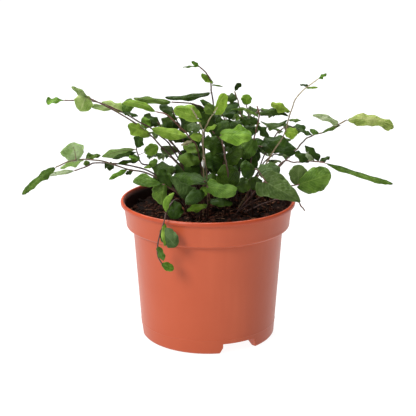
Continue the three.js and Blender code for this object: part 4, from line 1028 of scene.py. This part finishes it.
def make_pot():
    """The nursery pot: a turned shell with its foot notched, hollowed and drilled."""
    lip_foot = POT_HEIGHT - LIP_HEIGHT
    mouth = RIM_RADIUS - LIP_WIDTH
    seam = COLLAR_FOOT_HEIGHT
    ring = MOULD_RING
    slope = (WALL_TOP_RADIUS - WALL_FOOT_RADIUS) / (WALL_TOP_HEIGHT - 1)
    ring_radius = WALL_FOOT_RADIUS + slope * (ring - 1)
    outside = turned("nursery_pot", rounded([
        (0, FLOOR_HEIGHT, 0),
        (FOOT_SLOPE_RADIUS, FLOOR_HEIGHT, 1),
        (FOOT_INNER_RADIUS, 0, 0.5),
        (FOOT_OUTER_RADIUS, 0, 0.3),
        (WALL_FOOT_RADIUS, 1, 0.5),
        (ring_radius - 0.06, ring - 0.5, 0.15),
        (ring_radius + 0.14, ring - 0.1, 0.15),
        (ring_radius + 0.02, ring + 0.4, 0.15),
        (WALL_TOP_RADIUS, WALL_TOP_HEIGHT, 0.9),
        (COLLAR_FOOT_RADIUS - 1.3, seam - 1.4, 0.8),
        (COLLAR_FOOT_RADIUS + 0.05, seam - 0.2, 0.6),
        (COLLAR_FOOT_RADIUS + 0.1, seam + 2.2, 0.5),
        (COLLAR_TOP_RADIUS, lip_foot, 0.35),
        (RIM_RADIUS - 0.35, lip_foot + 0.1, 0.5),
        (RIM_RADIUS, lip_foot + 0.9, 0.6),
        (RIM_RADIUS, POT_HEIGHT - 0.9, 0.7),
        (RIM_RADIUS - 0.7, POT_HEIGHT, 0.6),
        (mouth + 0.7, POT_HEIGHT, 0.6),
        (mouth, POT_HEIGHT - 0.8, 0.6),
        (COLLAR_TOP_RADIUS - WALL, lip_foot, 0.4),
        (COLLAR_FOOT_RADIUS - WALL, seam + 1, 0.5),
        (WALL_TOP_RADIUS - WALL, WALL_TOP_HEIGHT + 0.8, 0.5),
        (WALL_FOOT_RADIUS + 0.5 - WALL, FLOOR_HEIGHT + WALL, 1.0),
        (0, FLOOR_HEIGHT + WALL, 0),
    ]))
    tools = sectors("notch", NOTCH_WIDTH, FLOOR_HEIGHT)
    hollow = turned("foot_hollow", [
        (FOOT_SLOPE_RADIUS + 0.7, FLOOR_HEIGHT + WALL + 0.1),
        (FOOT_INNER_RADIUS + 0.7, WALL),
        (FOOT_OUTER_RADIUS - WALL, WALL),
        (WALL_FOOT_RADIUS + 0.3 - WALL, FLOOR_HEIGHT + WALL + 0.1),
    ])
    cut(hollow, sectors("rib", NOTCH_WIDTH + 4, FLOOR_HEIGHT + 2 * WALL))
    tools.append(hollow)
    for i in range(DRAIN_COUNT + 1):
        angle = i * 2 * math.pi / DRAIN_COUNT
        circle = DRAIN_CIRCLE if i < DRAIN_COUNT else 0
        tools.append(drill(f"drill_{i}", circle * math.cos(angle), circle * math.sin(angle)))
    cut(outside, tools)
    mesh = outside.data
    mesh.materials.clear()
    mesh.materials.append(pot_finish())
    mesh.polygons.foreach_set("use_smooth", [True] * len(mesh.polygons))
    mesh.set_sharp_from_angle(angle=math.radians(SHARP_ANGLE))
    return outside


# ---- potting mix ----

SOIL_EDGE = 55.7
SOIL_RINGS = 64
SOIL_SPOKES = 200
SOIL_SEED = 11
SOIL_UNDERSIDE = FLOOR_HEIGHT + WALL + 0.4
# Below its top the mix follows the inside of the pot: (radius, height).
SOIL_SIDE = ((54.6, 80.6), (49.9, 77.6), (45.3, SOIL_UNDERSIDE))
CRUMB_COUNT = 1500
CRUMB_REACH = 54.2
CRUMB_LARGEST = 2.4
CRUMB_SHADES = ((30, 18, 14), (48, 28, 21), (78, 44, 32), (124, 78, 56), (66, 34, 24))
CRUMB_SHARES = (0.3, 0.3, 0.2, 0.06, 0.14)
FIBRE_COUNT = 420
FIBRE_REACH = 53
FIBRE_LIMIT = 54.5
FIBRE_STEPS = 6
FIBRE_SHADES = ((80, 44, 32), (112, 66, 48), (56, 30, 22), (150, 112, 88))


def make_soil():
    """The potting mix: a body with a rough top, and what lies loose on it."""
    random = np.random.default_rng(SOIL_SEED)
    form = Form()
    dark = linear(28, 17, 13)
    angles = around(SOIL_SPOKES)
    waves = random.normal(0, 1, (26, 4))
    points = [np.array([[0, 0, float(soil_height(0, 0))]])]
    for ring in range(1, SOIL_RINGS + 1):
        radius = SOIL_EDGE * ring / SOIL_RINGS
        x, y = radius * np.cos(angles), radius * np.sin(angles)
        z = soil_height(x, y)
        for a, b, c, d in waves:
            z = z + 0.14 * np.sin(0.55 * a * x + 0.55 * b * y + 6 * c) * (1 + 0.3 * d)
        z += random.normal(0, 0.22, len(z))
        points.append(np.column_stack([x, y, z]))
    for radius, z in SOIL_SIDE:
        x, y = radius * np.cos(angles), radius * np.sin(angles)
        points.append(np.column_stack([x, y, np.full(len(angles), z)]))
    points.append(np.array([[0, 0, SOIL_UNDERSIDE]]))
    faces = []
    rings = len(points) - 2
    last = rings * SOIL_SPOKES + 1
    for j in range(SOIL_SPOKES):
        k = (j + 1) % SOIL_SPOKES
        faces.append((0, 1 + j, 1 + k))
        for ring in range(rings - 1):
            near, far = 1 + ring * SOIL_SPOKES, 1 + (ring + 1) * SOIL_SPOKES
            faces.append((near + j, far + j, far + k, near + k))
        faces.append((last - SOIL_SPOKES + j, last, last - SOIL_SPOKES + k))
    points = np.vstack(points)
    # Painted shade: the mix is darkened on the left.
    shade = (1 + 0.5 * random.standard_normal(len(points)).clip(-1, 2)) * painted_left_shade(points[:, 0])
    form.add(points, faces, 0, dark * shade[:, None])
    add_crumbs(form, random)
    add_fibres(form, random)
    return form.build("potting_mix", [soil_finish()])


def scatter(random, reach):
    """A random place on the mix, within reach of its middle."""
    radius = reach * math.sqrt(random.random())
    angle = random.uniform(0, 2 * math.pi)
    return radius * math.cos(angle), radius * math.sin(angle)


def painted_left_shade(x):
    """The share of its tone that the mix keeps: it is darker on the left, as painted shade."""
    return np.interp(x, (-46, -8), (0.45, 1))


def add_crumbs(form, random):
    """Granules and small lumps lying on the mix, each a dented icosahedron."""
    golden = (1 + math.sqrt(5)) / 2
    ico = [(x, y * golden, 0) for y in (1, -1) for x in (-1, 1)]
    ico += [(0, y, z * golden) for z in (1, -1) for y in (-1, 1)]
    ico += [(x * golden, 0, z) for x in (1, -1) for z in (-1, 1)]
    ico = np.array(ico) / math.sqrt(1 + golden**2)
    faces = [(0, 11, 5), (0, 5, 1), (0, 1, 7), (0, 7, 10), (0, 10, 11), (1, 5, 9), (5, 11, 4), (11, 10, 2)]
    faces += [(10, 7, 6), (7, 1, 8), (3, 9, 4), (3, 4, 2), (3, 2, 6), (3, 6, 8), (3, 8, 9), (4, 9, 5)]
    faces += [(2, 4, 11), (6, 2, 10), (8, 6, 7), (9, 8, 1)]
    shades = [linear(*shade) for shade in CRUMB_SHADES]
    for _ in range(CRUMB_COUNT):
        x, y = scatter(random, CRUMB_REACH)
        size = min(0.45 + 0.5 * random.exponential(1), CRUMB_LARGEST)
        turn = np.linalg.qr(random.normal(0, 1, (3, 3)))[0]
        if np.linalg.det(turn) < 0:
            turn[:, 0] *= -1
        stretch = random.uniform(0.5, 1.3, 3)
        lumps = 1 + 0.22 * random.standard_normal(12).clip(-1.5, 1.5)
        points = (ico * lumps[:, None] * stretch) @ turn.T * size
        points += (x, y, float(soil_height(x, y)) + 0.25 * size)
        shade = shades[int(random.choice(len(shades), p=CRUMB_SHARES))]
        # Painted shade: crumbs on the left are darkened.
        form.add(points, faces, 0, shade * painted_left_shade(x))


def add_fibres(form, random):
    """Loose reddish fibres and bits of root."""
    shades = [linear(*shade) for shade in FIBRE_SHADES]
    steps = FIBRE_STEPS
    for _ in range(FIBRE_COUNT):
        start_x, start_y = scatter(random, FIBRE_REACH)
        heading = random.uniform(0, 2 * math.pi)
        length = random.uniform(3, 12)
        bend = random.normal(0, 0.12)
        t = np.linspace(-0.5, 0.5, steps)
        way = heading + bend * length * t
        x = start_x + np.cumsum(np.cos(way)) * length / steps
        y = start_y + np.cumsum(np.sin(way)) * length / steps
        if np.hypot(x, y).max() > FIBRE_LIMIT:
            continue
        z = soil_height(x, y) + 0.5 + random.uniform(0, 0.6) + random.uniform(-0.5, 1.2) * t
        points = np.column_stack([x, y, z])
        thick = random.uniform(0.1, 0.24)
        # Painted shade: fibres on the left are darkened.
        shade = shades[int(random.integers(0, len(shades)))] * painted_left_shade(x[0])
        tube(form, points, np.full(steps, thick), np.broadcast_to(shade, (steps, 3)), 0, sides=5)


# ---- studio ----

# The camera looks down from the front, as in the photograph. Its place is in metres, its pitch in degrees of
# which 90 is level, and its lens and sensor in millimetres.
CAMERA_SPOT = (0, -0.734, 0.3)
CAMERA_PITCH = 73.957
CAMERA_LENS = 95.885
CAMERA_SENSOR = 36
# Metres. Pale walls at the floor's far edge close the horizon in low views.
FLOOR_REACH = 6
BACKDROP_HEIGHT = 0.7
# The floor gives off most of its brightness itself, so that it stays nearly white in shadow.
FLOOR_GLOW = 0.94
WORLD_LIGHT = 0.04
# Square lamps: place, size, watts, colour
LAMPS = {
    "key": ((-1.2, -1.4, 1.3), 0.9, 42, (1.0, 0.985, 0.96)),
    "top": ((-0.3, 0.7, 2.2), 2.0, 122, (1.0, 1.0, 1.0)),
}
LAMP_AIM = (0, 0, 0.1)


def make_studio():
    """Camera, floor, world and lamps."""
    scene = bpy.context.scene
    scene.view_settings.view_transform = "Standard"
    camera = bpy.data.objects.new("camera", bpy.data.cameras.new("camera"))
    camera.location = CAMERA_SPOT
    camera.rotation_euler = (math.radians(CAMERA_PITCH), 0, 0)
    camera.data.lens = CAMERA_LENS
    camera.data.sensor_width = CAMERA_SENSOR
    camera.data.clip_start = 0.01
    scene.collection.objects.link(camera)
    scene.camera = camera

    finish = Finish("studio_floor")
    shade = finish.noise(3, detail=2)
    colour = finish.blend(shade, paint(98, 98, 98), paint(104, 104, 104))
    white = finish.node("BsdfPrincipled", inputs={
        "Base Color": colour,
        "Roughness": 0.9,
        "Specular IOR Level": 0.1,
        "Emission Color": (1, 1, 1, 1),
        "Emission Strength": FLOOR_GLOW,
    })
    mesh = bpy.data.meshes.new("studio_floor")
    corners = [(-FLOOR_REACH, -FLOOR_REACH), (FLOOR_REACH, -FLOOR_REACH)]
    corners += [(FLOOR_REACH, FLOOR_REACH), (-FLOOR_REACH, FLOOR_REACH)]
    points = [(x, y, z) for z in (0, BACKDROP_HEIGHT) for x, y in corners]
    walls = [(i, (i + 1) % 4, (i + 1) % 4 + 4, i + 4) for i in range(4)]
    mesh.from_pydata(points, [], [(0, 1, 2, 3), *walls])
    mesh.materials.append(finish.surface(white))
    show("studio_floor", mesh)

    world = bpy.data.worlds.new("studio")
    world.use_nodes = True
    background = world.node_tree.nodes["Background"]
    background.inputs["Color"].default_value = (1, 1, 1, 1)
    background.inputs["Strength"].default_value = WORLD_LIGHT
    scene.world = world

    for name, (spot, size, power, colour) in LAMPS.items():
        light = bpy.data.lights.new(name, "AREA")
        light.size = size
        light.energy = power
        light.color = colour
        lamp = bpy.data.objects.new(name, light)
        lamp.location = spot
        aim = Vector(LAMP_AIM) - Vector(spot)
        lamp.rotation_euler = aim.to_track_quat("-Z", "Y").to_euler()
        scene.collection.objects.link(lamp)


# ---- assembly ----

FROND_SEED = 100
TWIG_SEED = 77
# How far the leaflets of one tone differ in lightness, in red and in blue
TONE_SPREAD = 0.12
RED_SPREAD = 0.08
BLUE_SPREAD = 0.1


def place(piece, slot, *nodes):
    """Hangs a piece on the root in place of the CAD nodes that it covers; slot is not used."""
    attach(piece, "root")
    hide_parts(*nodes)


def make_plant():
    """Every frond, traced and of the crown, and the bare twig."""
    materials = [leaf_finish("leaf_upper", False), leaf_finish("leaf_lower", True), stem_finish()]
    fronds = dict(FRONDS)
    for index, (name, row) in enumerate(CROWN.items()):
        fronds[name] = crown_frond(row, index)
    for index, (name, (kind, route, rows)) in enumerate(fronds.items()):
        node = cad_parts[f"frond_{name}"]
        corners = np.array([tuple(node.matrix_world @ vertex.co) for vertex in node.data.vertices]) / MM
        draw = draws(index + 1)
        random = np.random.default_rng(FROND_SEED + index)
        stem = Stem(route)
        form = Form()
        add_stem(form, stem, kind, random)
        stalk = linear(*STEMS[kind][1])
        for row in rows:
            leaflet = read_leaflet(row, stem, draw, corners)
            tint = random.uniform(-1, 1, 2)
            if leaflet is None:
                continue
            colour = linear(*TONES[leaflet["tone"]]) * (1 + TONE_SPREAD * tint[0])
            colour = colour * (1 + RED_SPREAD * tint[1], 1, 1 - BLUE_SPREAD * tint[1])
            add_blade(form, leaflet, colour)
            add_stalk(form, leaflet, stalk)
        place(form.build(f"fern_{name}", materials), "leaf", f"frond_{name}")
    form = Form()
    add_stem(form, Stem(TWIG_ROUTE), "red", np.random.default_rng(TWIG_SEED))
    place(form.build("dead_twig", materials), "dead_stem", "bare_twig")


make_studio()
place(make_pot(), "pot", "pot")
place(make_soil(), "soil", "soil")
make_plant()
